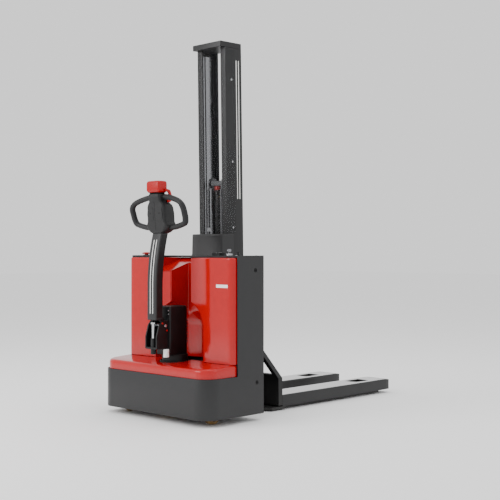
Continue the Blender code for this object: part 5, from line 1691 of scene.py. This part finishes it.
        buttons = total(lathe([(0, 0), (0.0075, 0), (0.0075, 0.003), (0.006, 0.0045), (0, 0.0045)],
                              (x, 0.1135, 1.112), "Y", 28) for x in (-0.036, 0.036))
        self.add("head_buttons", buttons, BLACK_PLASTIC)


# ---------------------------------------------------------------- wheels
@dataclass
class Wheels(Assembly):
    """Casters beside the drive wheel and load wheels in the legs."""

    caster_x: float = 0.330
    caster_y: float = 0.105
    trail: float = 0.028

    def build(self) -> None:
        """Build both casters and both load wheels."""
        for sign, name in SIDES:
            self.build_caster(sign, name)
            self.build_load_wheel(sign, name)

    def build_caster(self, sign: int, name: str) -> None:
        """Caster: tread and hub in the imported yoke, with a swivel race and axle nuts.

        Args:
            sign: -1 for the left side, 1 for the right.
            name: left or right, for the pieces' names.
        """
        x = sign * self.caster_x
        centre = (x, self.caster_y + self.trail, 0.050)
        w, r = 0.017, 0.050
        tread = tyre(0.0342, r, w, (0.0015, 0.0020))
        hub = both_ways([(0.0340, w), (0.030, w - 0.004), (0.018, w - 0.004), (0.016, w), (0.0066, w)])
        body = f"caster_wheel_{name}_body"
        self.add("caster_tread_" + name, ring_lathe(tread, centre, "X", 72), AMBER_PU, body,
                 replaces=["caster_wheel_" + name], slot="polyurethane")
        self.add("caster_hub_" + name, ring_lathe(hub, centre, "X", 48), CAST_GREY, body)
        self.shop.dress("caster_yoke_" + name, OILED_STEEL)
        race = sleeve(0.0165, 0.031, 0.1192, 0.1250, (x, self.caster_y, 0), sides=40)
        self.add("caster_race_" + name, race, ZINC, f"caster_{name}")
        nuts = total(hex_bolt((x + s * 0.0230, centre[1], centre[2]), "X", 0.009, 0.005, s) for s in (-1, 1))
        self.add("caster_nuts_" + name, nuts, ZINC, f"caster_{name}")

    def build_load_wheel(self, sign: int, name: str) -> None:
        """Load wheel: polyurethane tread on a steel core.

        Args:
            sign: -1 for the left side, 1 for the right.
            name: left or right, for the pieces' names.
        """
        centre = (sign * 0.200, 1.501, 0.040)
        w, r = 0.035, 0.040
        tread = both_ways([(r, w - 0.004), (r - 0.004, w), (0.0302, w)])
        core = sleeve(0.0105, 0.030, -w + 0.002, w - 0.002, centre, "X")
        body = f"load_wheel_{name}_body"
        self.add("load_tread_" + name, ring_lathe(tread, centre, "X", 72), DARK_PU, body,
                 replaces=["load_wheel_" + name], slot="polyurethane")
        self.add("load_core_" + name, core, GROUND_STEEL, body)


# ---------------------------------------------------------------- studio
@dataclass
class Studio:
    """Pale floor and backdrop, soft lights and the camera."""

    lens: float = 71.98
    sensor: float = 36.0
    floor_half: float = 30.0
    surround: float = 1.15
    floor_colour: str = "#fbfbfb"
    floor_roughness: float = 0.9

    camera_at: tuple[float, float, float] = (4.0455, -4.2844, 0.8904)
    camera_turn: tuple[float, float, float] = (90.06, 0.0, 44.09)

    def build(self) -> None:
        """Build the studio."""
        self.build_floor()
        self.build_world()
        self.build_lights()
        self.build_camera()

    def build_floor(self) -> None:
        """A plain pale floor."""
        mesh = bpy.data.meshes.new("studio_floor")
        size = self.floor_half
        mesh.from_pydata([(-size, -size, 0), (size, -size, 0), (size, size, 0), (-size, size, 0)], [],
                         [(0, 1, 2, 3)])
        floor = bpy.data.objects.new("studio_floor", mesh)
        bpy.context.scene.collection.objects.link(floor)
        material = bpy.data.materials.new("studio_paper")
        material.use_nodes = True
        shader = material.node_tree.nodes["Principled BSDF"]
        shader.inputs["Base Color"].default_value = linear(self.floor_colour)
        shader.inputs["Roughness"].default_value = self.floor_roughness
        shader.inputs["Specular IOR Level"].default_value = 0.1
        mesh.materials.append(material)

    def build_world(self) -> None:
        """An even white surround."""
        world = bpy.data.worlds.new("studio_surround")
        world.use_nodes = True
        ground = world.node_tree.nodes["Background"]
        ground.inputs[0].default_value = (1.0, 1.0, 1.0, 1.0)
        ground.inputs[1].default_value = self.surround
        bpy.context.scene.world = world

    def light(self, name: str, place: Point, target: Point, size: Point, power: float) -> None:
        """One soft rectangular light.
        Args:
            name: its name.
            place: where it hangs.
            target: where it points.
            size: its width and height.
            power: its power in watts.
        """
        lamp = bpy.data.lights.new(name, "AREA")
        lamp.shape = "RECTANGLE"
        lamp.size, lamp.size_y = size
        lamp.energy = power
        holder = bpy.data.objects.new(name, lamp)
        bpy.context.scene.collection.objects.link(holder)
        holder.location = place
        aim = Vector(target) - Vector(place)
        holder.rotation_euler = aim.to_track_quat("-Z", "Y").to_euler()

    def build_lights(self) -> None:
        """Key from the operator's side, a weaker fill on the right and one above."""
        self.light("key_light", (-1.6, -4.6, 2.6), (0, -0.4, 0.8), (3.0, 2.6), 150.0)
        self.light("fill_light", (4.6, 0.8, 2.4), (0, 0, 0.8), (2.6, 2.6), 30.0)
        self.light("top_light", (0.0, 0.3, 4.8), (0, 0, 0), (3.4, 3.4), 70.0)

    def build_camera(self) -> None:
        """The camera that frames the three-quarter view."""
        lens = bpy.data.cameras.new("studio_camera")
        lens.lens = self.lens
        lens.sensor_width = self.sensor
        lens.clip_end = 100.0
        camera = bpy.data.objects.new("studio_camera", lens)
        bpy.context.scene.collection.objects.link(camera)
        camera.location = self.camera_at
        camera.rotation_euler = [math.radians(a) for a in self.camera_turn]
        bpy.context.scene.camera = camera


def main() -> None:
    """Build the machine and the studio."""
    shop = Workshop()
    for part in (PowerUnit(shop), Mast(shop), Lift(shop), DriveUnit(shop), Tiller(shop), Wheels(shop)):
        log.info("building %s", type(part).__name__)
        part.build()
    Studio().build()


if __name__ == "__main__":
    main()
